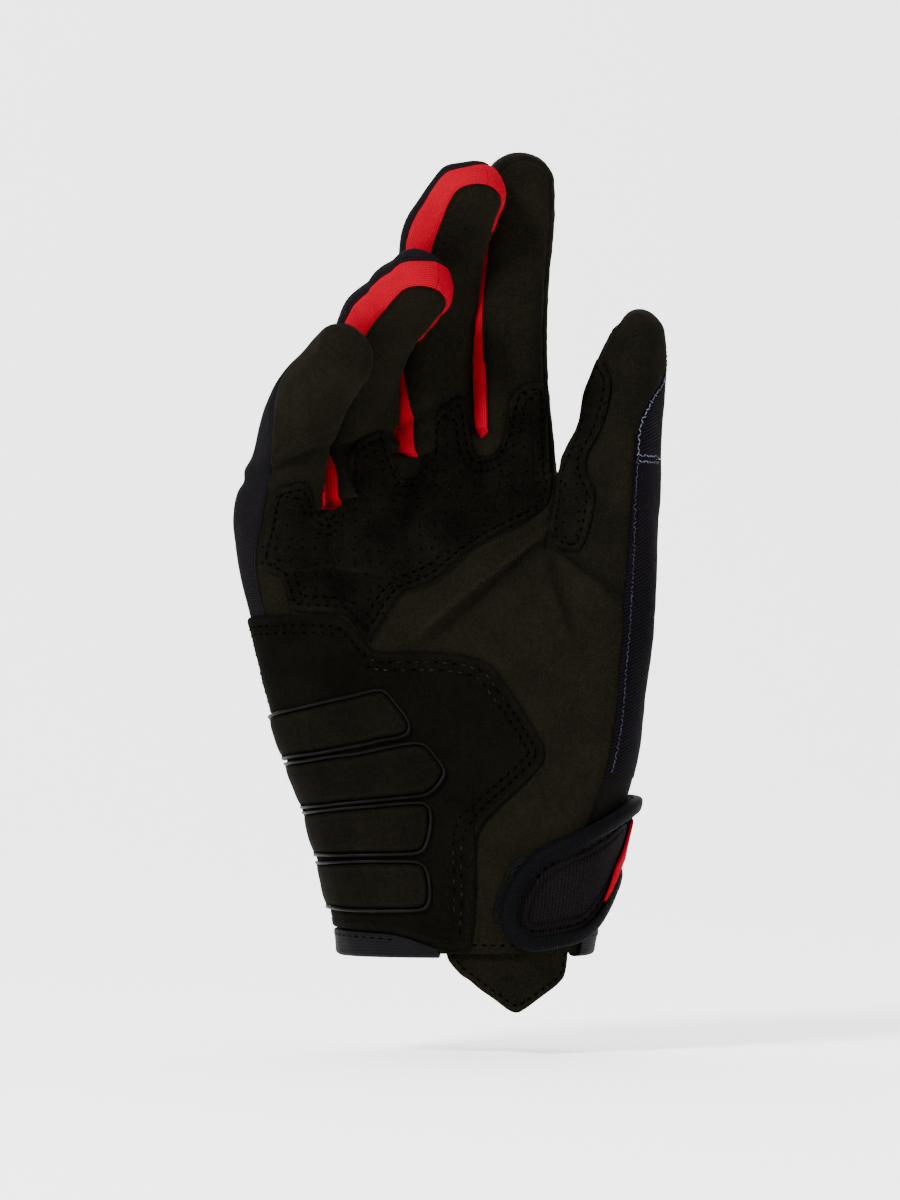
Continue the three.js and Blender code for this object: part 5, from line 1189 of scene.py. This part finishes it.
def bandPiece(name, outline, point, look, material, nodes, extra=None):
    # flat piece on the hand: rounded edge, sunk stitch lines and a crown, all functions of the edge distance
    stations, lows, highs = bandColumns(outline, look["cell"], point)
    tallest = lengthAlong(point, np.array([[stations[(highs - lows).argmax()], lows.min()],
                                           [stations[(highs - lows).argmax()], highs.max()]]))[-1]
    share = np.linspace(0, 1, max(int(tallest / look["cell"]), 4) + 1)[:, None]
    u, v = stations[None, :] + 0 * share, lows + (highs - lows) * share
    ground = point(u, v)
    near = distanceTo(ground, point(outline[:, 0], outline[:, 1]))
    lip = np.sqrt(1 - (1 - np.clip(near / look["round"], 0, 1))**2)
    rise = look["thickness"] * (look["edge"] + (1 - look["edge"]) * lip)
    for at, depth, width in look["grooves"]:
        rise = rise - depth * np.exp(-((near - at) / width)**2)
    rise = rise + look["puff"] * smooth((near - look["puffStart"]) / bandEdge["puffRun"])
    uneven = slack(ground) * look["slack"]
    if extra is not None:
        rise = rise + extra(u, v, ground, near)
    outer = point(u, v, look["base"] - rise + uneven)
    inner = point(u, v, look["base"] + uneven)
    # painted shade along the piece's edge (the heel pads, beside their rim beads), then a paler band of edge wear
    paintedLightAndWear = look["edgeShade"] * np.exp(-(near / bandEdge["edgeShadeWidth"])**2)
    paintedLightAndWear = paintedLightAndWear - look["wear"] * np.exp(-((near - bandEdge["wearPlace"]) / bandEdge["wearWidth"])**2)
    # painted shade in crease valleys and painted highlight on crease ridges under the overlay
    paintedLightAndWear = paintedLightAndWear + creaseRelief(ground) * panel["creaseShadeAndHighlight"] * look["slack"]
    # painted shade in the sunk stitch grooves
    for at, depth, width in look["grooves"]:
        paintedLightAndWear = paintedLightAndWear + look["grooveShade"] * np.exp(-((near - at) / (bandEdge["grooveSpread"] * width))**2)
    return putShell(name, [makeGrid(outer, inner, paintedLightAndWear=np.clip(paintedLightAndWear, -1, 1))], material, nodes)


def edging(name, path, profile, point, base, closed, material, nodes, smoothing=0):
    # profile of sideways and upward lengths carried along a path, capped at open ends
    for _ in range(smoothing):
        path[1:-1] = (path[:-2] + 2 * path[1:-1] + path[2:]) / 4
    side = inwards(point, path, closed)
    uneven = slack(point(path[:, 0], path[:, 1]))[:, None]
    u = path[:, :1] + side[:, :1] * profile[None, :, 0]
    v = path[:, 1:] + side[:, 1:] * profile[None, :, 0]
    points = point(u, v, base - profile[None, :, 1] + uneven)
    if closed:
        points = points[:-1]
    return putTube(name, points, closed, material, nodes)


# one stitch: two ends and three rings of six points, its ends dipping into the cloth
stitchRings = np.array([[-0.32, 0.85], [0.0, 1.0], [0.32, 0.85]])
stitchSides = 6


def stitchTemplate(length, radius, dip):
    angle = np.arange(stitchSides) * 2 * math.pi / stitchSides
    rings = [[[x * length, r * radius * math.cos(a), r * radius * math.sin(a) - dip * (2 * x)**2]
              for a in angle] for x, r in stitchRings]
    ends = [-length / 2, 0, -dip], [length / 2, 0, -dip]
    points = np.array([ends[0]] + [p for ring in rings for p in ring] + [ends[1]])
    n = stitchSides
    faces = [[0, 1 + (j + 1) % n, 1 + j, 1 + j] for j in range(n)]
    faces += [[1 + r * n + j, 1 + r * n + (j + 1) % n, 1 + (r + 1) * n + (j + 1) % n, 1 + (r + 1) * n + j]
              for r in range(2) for j in range(n)]
    faces += [[1 + 3 * n, 1 + 2 * n + j, 1 + 2 * n + (j + 1) % n, 1 + 2 * n + (j + 1) % n] for j in range(n)]
    return points, np.array(faces)


# steps along a row in mm, how much nearer to the edge it may come, and its least number of steps
sewing = {"step": 0.6, "slip": 0.3, "least": 6}


# stitch centres and directions along an offset line
def sewPath(point, outline, offset, pitch, keep=None, closed=True):
    path = resample(point, outline, sewing["step"])
    side = inwards(point, path, closed)
    moved = path + side * offset
    edge = point(path[:, 0], path[:, 1])
    clear = distanceTo(point(moved[:, 0], moved[:, 1]), edge) > abs(offset) - sewing["slip"]
    if keep is not None:
        clear &= keep(moved[:, 0], moved[:, 1])
    spots, ways = [], []
    breaks = np.flatnonzero(np.diff(clear.astype(int))) + 1
    for run in np.split(np.arange(len(moved)), breaks):
        if len(run) < sewing["least"] or not clear[run[0]]:
            continue
        stretch = resample(point, moved[run], pitch / 2)
        if len(stretch) % 2:
            stretch = stretch[:-1]
        if len(stretch) < 2:
            continue
        spots.append((stretch[0::2] + stretch[1::2]) / 2)
        ways.append(stretch[1::2] - stretch[0::2])
    return np.concatenate(spots), np.concatenate(ways)


def stitchPoints(point, spots, ways, inset, look, seed):  # template set on every centre, with a little scatter
    rng = np.random.default_rng(seed)
    uneven = slack(point(spots[:, 0], spots[:, 1]))
    centre = point(spots[:, 0], spots[:, 1], inset + uneven)
    up = point(spots[:, 0], spots[:, 1], inset + uneven - 1) - centre
    ahead = point(spots[:, 0] + ways[:, 0], spots[:, 1] + ways[:, 1], inset + uneven) - centre
    up = up / np.linalg.norm(up, axis=1, keepdims=True)
    ahead = ahead - up * (ahead * up).sum(1, keepdims=True)
    ahead = ahead / np.linalg.norm(ahead, axis=1, keepdims=True)
    across = np.cross(up, ahead)
    swing = np.radians(look["swing"]) * np.where(np.arange(len(spots)) % 2, 1, -1) * look["zigzag"]
    swing = swing + np.radians(rng.normal(0, look["scatter"], len(spots)))
    ahead, across = (ahead * np.cos(swing)[:, None] + across * np.sin(swing)[:, None],
                     across * np.cos(swing)[:, None] - ahead * np.sin(swing)[:, None])
    template, faces = stitchTemplate(look["length"], look["radius"], look["dip"])
    size = rng.uniform(0.88, 1.1, len(spots))[:, None, None]
    shaped = template[None] * size
    points = (centre[:, None] + shaped[..., :1] * ahead[:, None] + shaped[..., 1:2] * across[:, None]
              + shaped[..., 2:] * up[:, None])
    ids = faces[None] + np.arange(len(spots))[:, None, None] * len(template)
    return points.reshape(-1, 3), ids.reshape(-1, 4)


def sew(name, rows, material):  # all rows of one kind of thread as one piece
    points, faces, base = [], [], 0
    for seed, (point, spots, ways, inset, look) in enumerate(rows):
        some, ids = stitchPoints(point, spots, ways, inset, look, seed)
        points.append(some)
        faces.append(ids + base)
        base += len(some)
    points, faces = np.concatenate(points), np.concatenate(faces)
    uv = np.zeros((len(faces), 4, 2))
    return settle(putMesh(name, points, faces, uv, np.zeros(len(points)), material, 80))


def addRow(rows, point, path, inset, offset=0.0, look=None, keep=None, closed=False):
    look = look or seams
    spots, ways = sewPath(point, path, offset, look["pitch"], keep, closed)
    rows.append((point, spots, ways, inset, look))


# what most overlays have in common
overlay = {"base": -0.3, "thickness": 1.0, "edge": 0.55, "round": 1.3, "wear": 0.3, "slack": 1.0, "grooves": [],
           "puff": 0.0, "puffStart": 0.0, "edgeShade": 0.0, "grooveShade": 0.12}
# perforated patch under the fingers: place across the columns, low and high edge
palmPatch = {
    **overlay, "rows": [
        [0.08, 0.484, 0.606], [0.25, 0.474, 0.616], [0.36, 0.470, 0.619], [0.39, 0.456, 0.620],
        [0.42, 0.425, 0.621], [0.60, 0.425, 0.621], [0.80, 0.424, 0.596], [0.92, 0.423, 0.548],
        [1.02, 0.422, 0.546], [1.06, 0.422, 0.628], [1.14, 0.422, 0.640], [1.28, 0.403, 0.648],
        [1.43, 0.383, 0.652], [1.51, 0.393, 0.654], [1.74, 0.416, 0.656], [1.78, 0.420, 0.650],
        [1.81, 0.424, 0.600], [1.90, 0.434, 0.584], [2.02, 0.445, 0.583], [2.06, 0.447, 0.592],
        [2.08, 0.448, 0.645], [2.14, 0.450, 0.668], [2.30, 0.455, 0.678], [2.60, 0.466, 0.690],
        [2.70, 0.474, 0.692], [2.74, 0.477, 0.684], [2.78, 0.480, 0.632], [2.86, 0.487, 0.618],
        [3.04, 0.504, 0.613], [3.20, 0.516, 0.630], [3.28, 0.520, 0.668], [3.36, 0.525, 0.700],
        [3.64, 0.538, 0.712], [3.95, 0.553, 0.708]],
    "cell": 0.55, "corner": 3.5, "grooves": [(2.0, 0.2, 0.4), (4.4, 0.2, 0.4)]}
thumbPatch = {
    **overlay, "rows": [
        [0.499, 4.26, 4.38], [0.503, 4.14, 4.43], [0.511, 4.05, 4.46], [0.535, 4.05, 4.52], [0.569, 4.05, 4.54],
        [0.580, 4.05, 4.51], [0.591, 4.05, 4.40], [0.608, 4.05, 4.33], [0.622, 4.05, 4.34], [0.645, 4.05, 4.48],
        [0.672, 4.05, 4.55], [0.706, 4.05, 4.55], [0.718, 4.05, 4.48], [0.730, 4.05, 4.30], [0.736, 4.06, 4.17]],
    "cell": 0.5, "corner": 4.0, "grooves": [(2.0, 0.18, 0.4)]}
heelPatch = {
    **overlay, "rows": [
        [188, 0.031, 0.410], [172, 0.031, 0.417], [150, 0.030, 0.419], [137, 0.029, 0.420], [123.7, 0.028, 0.420],
        [116.8, 0.026, 0.417], [114.1, 0.023, 0.404], [110.1, 0.021, 0.381], [108.5, 0.019, 0.374],
        [102.5, 0.014, 0.374], [98.5, 0.010, 0.374], [95.5, 0.005, 0.374], [91.9, 0.005, 0.374], [89, 0.005, 0.371],
        [88.4, 0.140, 0.370], [86.4, 0.162, 0.366], [84, 0.173, 0.362], [82.1, 0.181, 0.354], [79.1, 0.192, 0.332],
        [74.1, 0.210, 0.301], [70.7, 0.223, 0.279], [67.9, 0.235, 0.262], [66.9, 0.245, 0.251]],
    "cell": 0.75, "corner": 2.5, "wear": 0.35, "grooves": [(2.9, 0.2, 0.4), (5.1, 0.2, 0.4)]}
heelPads = {
    **overlay, "rows": [
        [[186, 0.239, 0.290], [167.5, 0.242, 0.295], [150, 0.246, 0.301], [136.5, 0.249, 0.307],
         [117.2, 0.259, 0.320], [108.5, 0.266, 0.328], [105.9, 0.267, 0.325], [103.7, 0.269, 0.310],
         [101.6, 0.273, 0.296], [100.8, 0.279, 0.286]],
        [[186, 0.179, 0.233], [168.5, 0.180, 0.235], [147.1, 0.183, 0.239], [130, 0.187, 0.245],
         [118.4, 0.190, 0.249], [104.8, 0.194, 0.259], [99.5, 0.196, 0.262], [97, 0.202, 0.258],
         [95.4, 0.208, 0.247], [94, 0.217, 0.236], [93.4, 0.223, 0.229]],
        [[186, 0.119, 0.172], [163, 0.121, 0.174], [138.9, 0.122, 0.179], [120, 0.123, 0.183],
         [105.3, 0.124, 0.187],
         [101.6, 0.128, 0.187], [100, 0.139, 0.187], [98.9, 0.152, 0.183], [98.3, 0.165, 0.179]],
        [[186, 0.055, 0.110], [160, 0.055, 0.111], [138, 0.053, 0.114], [123.5, 0.053, 0.115],
         [106.6, 0.054, 0.115], [102.9, 0.056, 0.113], [101.3, 0.064, 0.106], [100.7, 0.077, 0.094]]],
    "cell": 0.6, "base": -1.6, "thickness": 0.95, "edge": 0.35, "round": 1.6, "corner": 2.2,
    # painted shade along each pad's edge beside its rim bead
    "puff": 0.22, "puffStart": 0.6, "edgeShade": 0.5, "inset": 0.8, "fill": 0.9,
    "rim": [[-0.45, 0], [-0.45, 0.6], [-0.34, 0.88], [-0.12, 1.04], [0.12, 1.04], [0.34, 0.88], [0.45, 0.6],
            [0.45, 0]]}
strapLook = {
    **overlay, "rows": [
        [80.4, 0.041, 0.055], [79.6, 0.033, 0.070], [78.1, 0.025, 0.084], [74.8, 0.014, 0.104],
        [70.2, 0.007, 0.121],
        [65.3, 0.004, 0.132], [58, 0.007, 0.141], [47, 0.011, 0.153], [37.2, 0.016, 0.163], [29.3, 0.025, 0.172],
        [23.3, 0.037, 0.178], [17.5, 0.055, 0.183], [11.8, 0.072, 0.187], [0, 0.088, 0.191], [-20, 0.092, 0.194],
        [-35, 0.090, 0.191], [-45, 0.088, 0.189], [-70, 0.079, 0.180], [-85, 0.075, 0.172], [-100, 0.073, 0.167]],
    "cell": 0.8, "base": -1.4, "thickness": 1.5, "edge": 0.6, "round": 1.0, "corner": 3.0, "wear": 0.0,
    # deep grooves with strong painted shade in them
    "slack": 0.0, "grooves": [(5.1, 0.55, 0.45), (7.2, 0.4, 0.5)], "grooveShade": 0.5, "puff": 0.1, "puffStart": 8.5,
    "binding": [[-0.5, 0.1], [-0.55, 1.4], [-0.4, 2.2], [0.0, 2.75], [0.8, 3.0], [1.7, 3.08], [2.5, 3.02],
                [3.2, 2.85], [3.6, 2.5], [3.55, 2.25], [2.8, 2.2], [1.6, 2.2], [0.6, 2.15], [0.25, 1.7],
                [0.25, 0.1]]}
redPanel = {
    **overlay, "rows": [
        [26.5, 0.063, 0.067], [22, 0.073, 0.090], [19, 0.082, 0.110], [12, 0.101, 0.125], [7.6, 0.110, 0.138],
        [2, 0.114, 0.163], [-10, 0.116, 0.168], [-20, 0.117, 0.169], [-45, 0.112, 0.164], [-58, 0.107, 0.160],
        [-70, 0.102, 0.154]],
    "cell": 0.7, "base": -3.6, "thickness": 0.8, "edge": 0.4, "round": 0.8, "corner": 2.0, "wear": 0.0,
    "slack": 0.0}
hookPatch = {
    **overlay,
    "rows": [[83.2, 0.042, 0.059], [81.7, 0.039, 0.075], [80, 0.035, 0.090], [78.6, 0.035, 0.103],
             [76.5, 0.035, 0.115], [74, 0.035, 0.120], [68, 0.035, 0.121]],
    "cell": 0.35, "thickness": 0.8, "edge": 0.5, "round": 0.7, "corner": 2.0, "wear": 0.0}
pullTab = {
    **overlay,
    "rows": [[96.2, -0.005, 0.026], [90, -0.031, 0.026], [86, -0.045, 0.026], [80, -0.057, 0.026],
             [76.8, -0.064, 0.026], [73.2, -0.071, 0.026], [69, -0.075, 0.026], [64.2, -0.069, 0.026],
             [58, -0.060, 0.026], [52.2, -0.052, 0.026], [39, -0.037, 0.026], [35, -0.029, 0.026],
             [33, -0.011, 0.026]],
    "cell": 0.6, "base": 3.2, "thickness": 1.2, "round": 1.0, "corner": 2.5, "wear": 0.35,
    "grooves": [(1.9, 0.12, 0.4)], "grooveShade": 0.15}
seams = {"length": 1.65, "radius": 0.26, "dip": 0.2, "pitch": 2.6, "swing": 0, "zigzag": 0, "scatter": 4}
fleckRow = {"length": 1.5, "radius": 0.16, "dip": 0.12, "pitch": 1.3, "swing": 30, "zigzag": 1, "scatter": 22,
            "share": 0.045, "rises": (0.8, -1.0), "across": (0.08, 0.6)}
cuff = {"rows": [[98.5, 0.005], [102.5, 0.010], [111, 0.019], [120.7, 0.024], [139, 0.026], [163.9, 0.028],
                 [190, 0.028], [270, 0.028], [391, 0.026]],
        "steps": 420, "outer": -0.3, "inner": 2.0, "thickness": 0.8, "depth": 1.2}
# inset of each kind of row under its surface point, in mm (below 0 above the skin)
sewn = {"patch": -1.2, "lightened": -1.24, "strap": -2.55, "strapEnd": -2.85, "tab": 2.05, "tabHem": 0.02,
        "cuff": -1.05, "fleck": -0.02}
threadRows, highlightRows, fleckRows, blueRows = [], [], [], []


def fuzz(u, v, ground, near):  # loops and hooks of the tape: short lumps
    return 0.16 * softNoise(ground, 1.3, 21) + 0.12 * softNoise(ground, 0.8, 22)


# where the heel patch's thread is painted pale as a painted highlight: height shares and turn, and how often a
# stitch is missed out
paled = {"above": 0.3, "below": 0.14, "turn": 110, "change": 2.4, "skip": -0.35}


def heelRowShown(u, v):  # not behind the hand, and below the strap's top edge only beside its nose
    return (u < 180) & ((v > 0.05 * gloveLength) | ((u > 86) & (u < 92.5)))


def buildPatches():
    outline = outlineFrom(palmPatch, palmPoint)
    bandPiece("palm_patch_suede", outline, palmPoint, palmPatch, finishes["perforated"],
              ["palm_patch"])
    for offset, _, _ in palmPatch["grooves"]:
        addRow(threadRows, palmPoint, outline, sewn["patch"], offset, closed=True)
    outline = outlineFrom(thumbPatch, heightPoint)
    bandPiece("thumb_patch_suede", outline, heightPoint, thumbPatch, finishes["perforated"],
              ["thumb_patch"])
    addRow(threadRows, heightPoint, outline, sewn["patch"], thumbPatch["grooves"][0][0], closed=True)
    outline = outlineFrom(heelPatch, ringPoint)
    bandPiece("heel_patch_suede", outline, ringPoint, heelPatch, finishes["heel"], ["heel_patch"])
    for offset, _, _ in heelPatch["grooves"]:
        spots, ways = sewPath(ringPoint, outline, offset, seams["pitch"], heelRowShown)
        # stitches of the upper and lower runs drawn in a pale thread as painted highlight
        upper = (spots[:, 1] > paled["above"] * gloveLength) & (spots[:, 0] < paled["turn"])
        lower = spots[:, 1] < paled["below"] * gloveLength
        lightened = (upper | lower) & (np.sin(np.arange(len(spots)) * paled["change"] + offset) > paled["skip"])
        threadRows.append((ringPoint, spots[~lightened], ways[~lightened], sewn["patch"], seams))
        highlightRows.append((ringPoint, spots[lightened], ways[lightened], sewn["lightened"], seams))


def buildPads():
    for number, rows in enumerate(heelPads["rows"], 1):
        path = resample(ringPoint, outlineFrom({**heelPads, "rows": rows}, ringPoint), 0.5)
        path[-1] = path[0]
        inner = path + inwards(ringPoint, path) * heelPads["inset"]
        inner[-1] = inner[0]
        pad = bandPiece(f"heel_pad_{number}_suede", inner, ringPoint, heelPads, finishes["pad"],
                        [f"heel_pad_{number}"])
        edging(f"pad_rim_{number}_bead", path, np.array(heelPads["rim"]), ringPoint, heelPads["base"], True,
               finishes["rim"], [f"pad_rim_{number}"])


def buildStrap():
    outline = outlineFrom(strapLook, ringPoint)
    bandPiece("wrist_strap_knit", outline, ringPoint, strapLook, finishes["strap"], ["wrist_strap"])
    rows = np.array(strapLook["rows"]) * (1, gloveLength, gloveLength)
    nose = [rows[0, 0] + 0.3, rows[0, 1:].mean()]
    path = np.concatenate([rows[::-1][:, [0, 2]][:-1], [nose], rows[1:, :2]])[::-1]
    path = resample(ringPoint, roundCorners(ringPoint, path, 6.0, False), 0.7)
    if inwards(ringPoint, path, False)[len(path) // 2, 0] > 0:
        path = path[::-1].copy()
    edging("strap_binding_rib", path, np.array(strapLook["binding"]), ringPoint, strapLook["base"], False,
           finishes["binding"], ["strap_binding"], 12)
    addRow(threadRows, ringPoint, outline, sewn["strap"], strapLook["grooves"][0][0],
           keep=lambda u, v: (u > -98) & (u < 68), closed=True)
    for turn in (-90, -96):
        line = np.array([[turn, 0.094], [turn, 0.150]]) * [1, gloveLength]
        addRow(threadRows, ringPoint, resample(ringPoint, line, 0.5), sewn["strapEnd"])
    outline = outlineFrom(redPanel, ringPoint)
    bandPiece("strap_red_knit", outline, ringPoint, redPanel, finishes["red"], ["strap_red_panel"])
    outline = outlineFrom(hookPatch, ringPoint)
    bandPiece("strap_hook_tape", outline, ringPoint, hookPatch, finishes["hook"], ["strap_hook"], fuzz)


def buildTab():
    outline = outlineFrom(pullTab, ringPoint)
    bandPiece("pull_tab_suede", outline, ringPoint, pullTab, finishes["suede"], ["pull_tab"])
    addRow(threadRows, ringPoint, outline, sewn["tab"], pullTab["grooves"][0][0],
           keep=lambda u, v: v < 0.3, closed=True)
    line = np.array([[90.5, 0.011], [80, 0.0105], [70, 0.010], [60, 0.010], [48, 0.011], [36, 0.0105]])
    addRow(threadRows, ringPoint, line * [1, gloveLength], sewn["tabHem"])


def buildCuff():  # folded band over the cut edge of the wrist, as one closed profile carried round it
    rows = np.array(cuff["rows"])
    turn = np.linspace(rows[0, 0], rows[-1, 0], cuff["steps"])
    top = np.interp(turn, rows[:, 0], rows[:, 1] * gloveLength)[:, None]
    bend = np.linspace(0, math.pi, 11)[None, :]
    outer, inner, thick = cuff["outer"], cuff["inner"], cuff["thickness"]
    over, under = outer - thick, inner + thick
    halfway = (outer + inner) / 2
    reach = halfway - over
    low = cuff["depth"] - thick
    # height and inset of each point of the profile: down the outside, round the fold, up the inside and back
    profile = [(top, over + 0.45), (top - 0.15, over + 0.12), (top - 0.5, over), (top * 0.5, over), (0 * top, over),
               (-cuff["depth"] * np.sin(bend), halfway - reach * np.cos(bend)), (0 * top, under),
               (top * 0.5, under), (top - 0.5, under), (top - 0.1, under - 0.25), (top - 0.1, inner + 0.1),
               (top * 0.5, inner), (0 * top, inner),
               (-low * np.sin(bend), halfway + (reach - thick) * np.cos(bend)), (0 * top, outer),
               (top * 0.5, outer), (top - 0.1, outer)]
    one = np.ones_like(top)
    height, inset = [np.concatenate([spot[i] * one for spot in profile], 1) for i in (0, 1)]
    turns = turn[:, None] + 0 * height
    points = ringPoint(turns, height, inset + slack(ringPoint(turns, height)))
    putTube("cuff_binding_elastic", points, False, finishes["cuff"], ["cuff_binding"])
    line = np.column_stack([turn, top[:, 0] - 1.3])[30:]
    addRow(threadRows, ringPoint, line, sewn["cuff"], keep=lambda u, v: v > 0.8)


def thumbSide(share, height, inset=0.0):
    return wallPoint(thumb, 1, share, height, inset)


def buildFlecks():  # pale overlock threads where the twill meets the suede
    rows = rowsBetween(twillFoot + 2, bones[thumb]["top"] - 1, 2.0)
    share = np.where(rows > thumbWrap, wrapShare(thumb, thumbWrap, rows), 0) + fleckRow["share"]
    spots, ways = sewPath(thumbSide, np.column_stack([share, rows]), 0.0, fleckRow["pitch"], None, False)
    upper = spots[:, 1] > twillSeam
    fleckRows.append((thumbSide, spots[upper], ways[upper], sewn["fleck"], fleckRow))
    blueRows.append((thumbSide, spots[~upper], ways[~upper], sewn["fleck"], fleckRow))
    for rise in fleckRow["rises"]:  # two rows across the wall, above and below the twill's seam
        across = np.column_stack([np.linspace(*fleckRow["across"], 12), np.full(12, twillSeam + rise)])
        addRow(fleckRows, thumbSide, across, sewn["fleck"], look=fleckRow)


buildPatches()
buildPads()
buildStrap()
buildTab()
buildCuff()
buildFlecks()
sew("seam_threads", threadRows, finishes["thread"])
# heel stitches in pale thread: painted highlight
sew("heel_pale_threads", highlightRows, finishes["highlightThread"])
sew("thumb_pale_threads", fleckRows, finishes["paleThread"])
sew("thumb_blue_threads", blueRows, finishes["blueThread"])
print("glove: patches, pads, strap, cuff and stitching built")


# studio: floor with a cove behind, soft lights and the camera
studio = {"frameHeight": 1200, "frameWidth": 900, "mmPerPixel": 0.285, "zeroX": 470, "zeroZ": 950,
          "distance": 2200.0,
          "sensor": 24.0, "floorDrop": 12.0, "floorWidth": 9000.0, "floorFront": -3200.0, "coveStart": 900.0,
          "coveRadius": 900.0, "wallTop": 4200.0, "white": 0.93, "glow": 0.95, "sky": 0.35}


def buildFloor():  # flat floor, a quarter circle and a wall, as one profile carried sideways
    low = cadBox[0][2] / mm - studio["floorDrop"]
    turn = np.linspace(0, math.pi / 2, 33)
    y = np.concatenate([[studio["floorFront"]], studio["coveStart"] + studio["coveRadius"] * np.sin(turn),
                        [studio["coveStart"] + studio["coveRadius"]]])
    z = np.concatenate([[low], low + studio["coveRadius"] * (1 - np.cos(turn)), [studio["wallTop"]]])
    x = np.linspace(-1, 1, 3) * studio["floorWidth"] / 2
    points = np.stack(np.broadcast_arrays(x[None, :], y[:, None], z[:, None]), -1)
    material, shader = newFinish("studio_white", {"Roughness": 0.9, "Specular IOR Level": 0.1})
    coords = addNode(material, "ShaderNodeTexCoord").outputs["Object"]
    cloud, white = noise(material, coords, 2, 2), studio["white"]
    link(material, rampBetween(material, cloud, (white - 0.01,) * 3, (white + 0.01,) * 3),
         shader.inputs["Base Color"])
    quads = quadIds(*points.shape[:2])
    shader.inputs["Emission Color"].default_value = (1, 1, 1, 1)
    shader.inputs["Emission Strength"].default_value = studio["glow"]
    putMesh("studio_floor", points.reshape(-1, 3), quads, material=material)


lights = [
    {"name": "key", "at": (-1100, -1500, 1500), "size": 600, "watts": 120},
    {"name": "right", "at": (1500, -1000, 500), "size": 900, "watts": 22},
    {"name": "top", "at": (0, 200, 1700), "size": 1400, "watts": 25},
    {"name": "back", "at": (-500, 1500, 1000), "size": 1200, "watts": 12},
]


def aim(spot, target):  # turn that points an object's -Z from a place to a target
    return (Vector(target) - Vector(spot)).to_track_quat("-Z", "Y").to_euler()


def buildLights():
    for light in lights:
        data = bpy.data.lights.new(light["name"], "AREA")
        data.shape, data.size, data.energy = "DISK", light["size"] * mm, light["watts"]
        lamp = bpy.data.objects.new(light["name"] + "_light", data)
        lamp.location = [c * mm for c in light["at"]]
        lamp.rotation_euler = aim(lamp.location, (0, 0, 0.1))
        bpy.context.scene.collection.objects.link(lamp)
    world = bpy.data.worlds.new("studio_world")
    world.use_nodes = True
    world.node_tree.nodes["Background"].inputs["Color"].default_value = (1, 1, 1, 1)
    world.node_tree.nodes["Background"].inputs["Strength"].default_value = studio["sky"]
    bpy.context.scene.world = world


def buildCamera():  # level view of the palm from straight in front
    centreX = (studio["frameWidth"] / 2 - studio["zeroX"]) * studio["mmPerPixel"]
    centreZ = (studio["zeroZ"] - studio["frameHeight"] / 2) * studio["mmPerPixel"]
    data = bpy.data.cameras.new("camera")
    data.sensor_fit, data.sensor_height = "VERTICAL", studio["sensor"]
    data.lens = studio["sensor"] * studio["distance"] / (studio["frameHeight"] * studio["mmPerPixel"])
    data.clip_end = 100
    camera = bpy.data.objects.new("camera", data)
    camera.location = (centreX * mm, -studio["distance"] * mm, centreZ * mm)
    camera.rotation_euler = (math.pi / 2, 0, 0)
    bpy.context.scene.collection.objects.link(camera)
    bpy.context.scene.camera = camera


buildFloor()
buildLights()
buildCamera()
print("glove: studio ready")
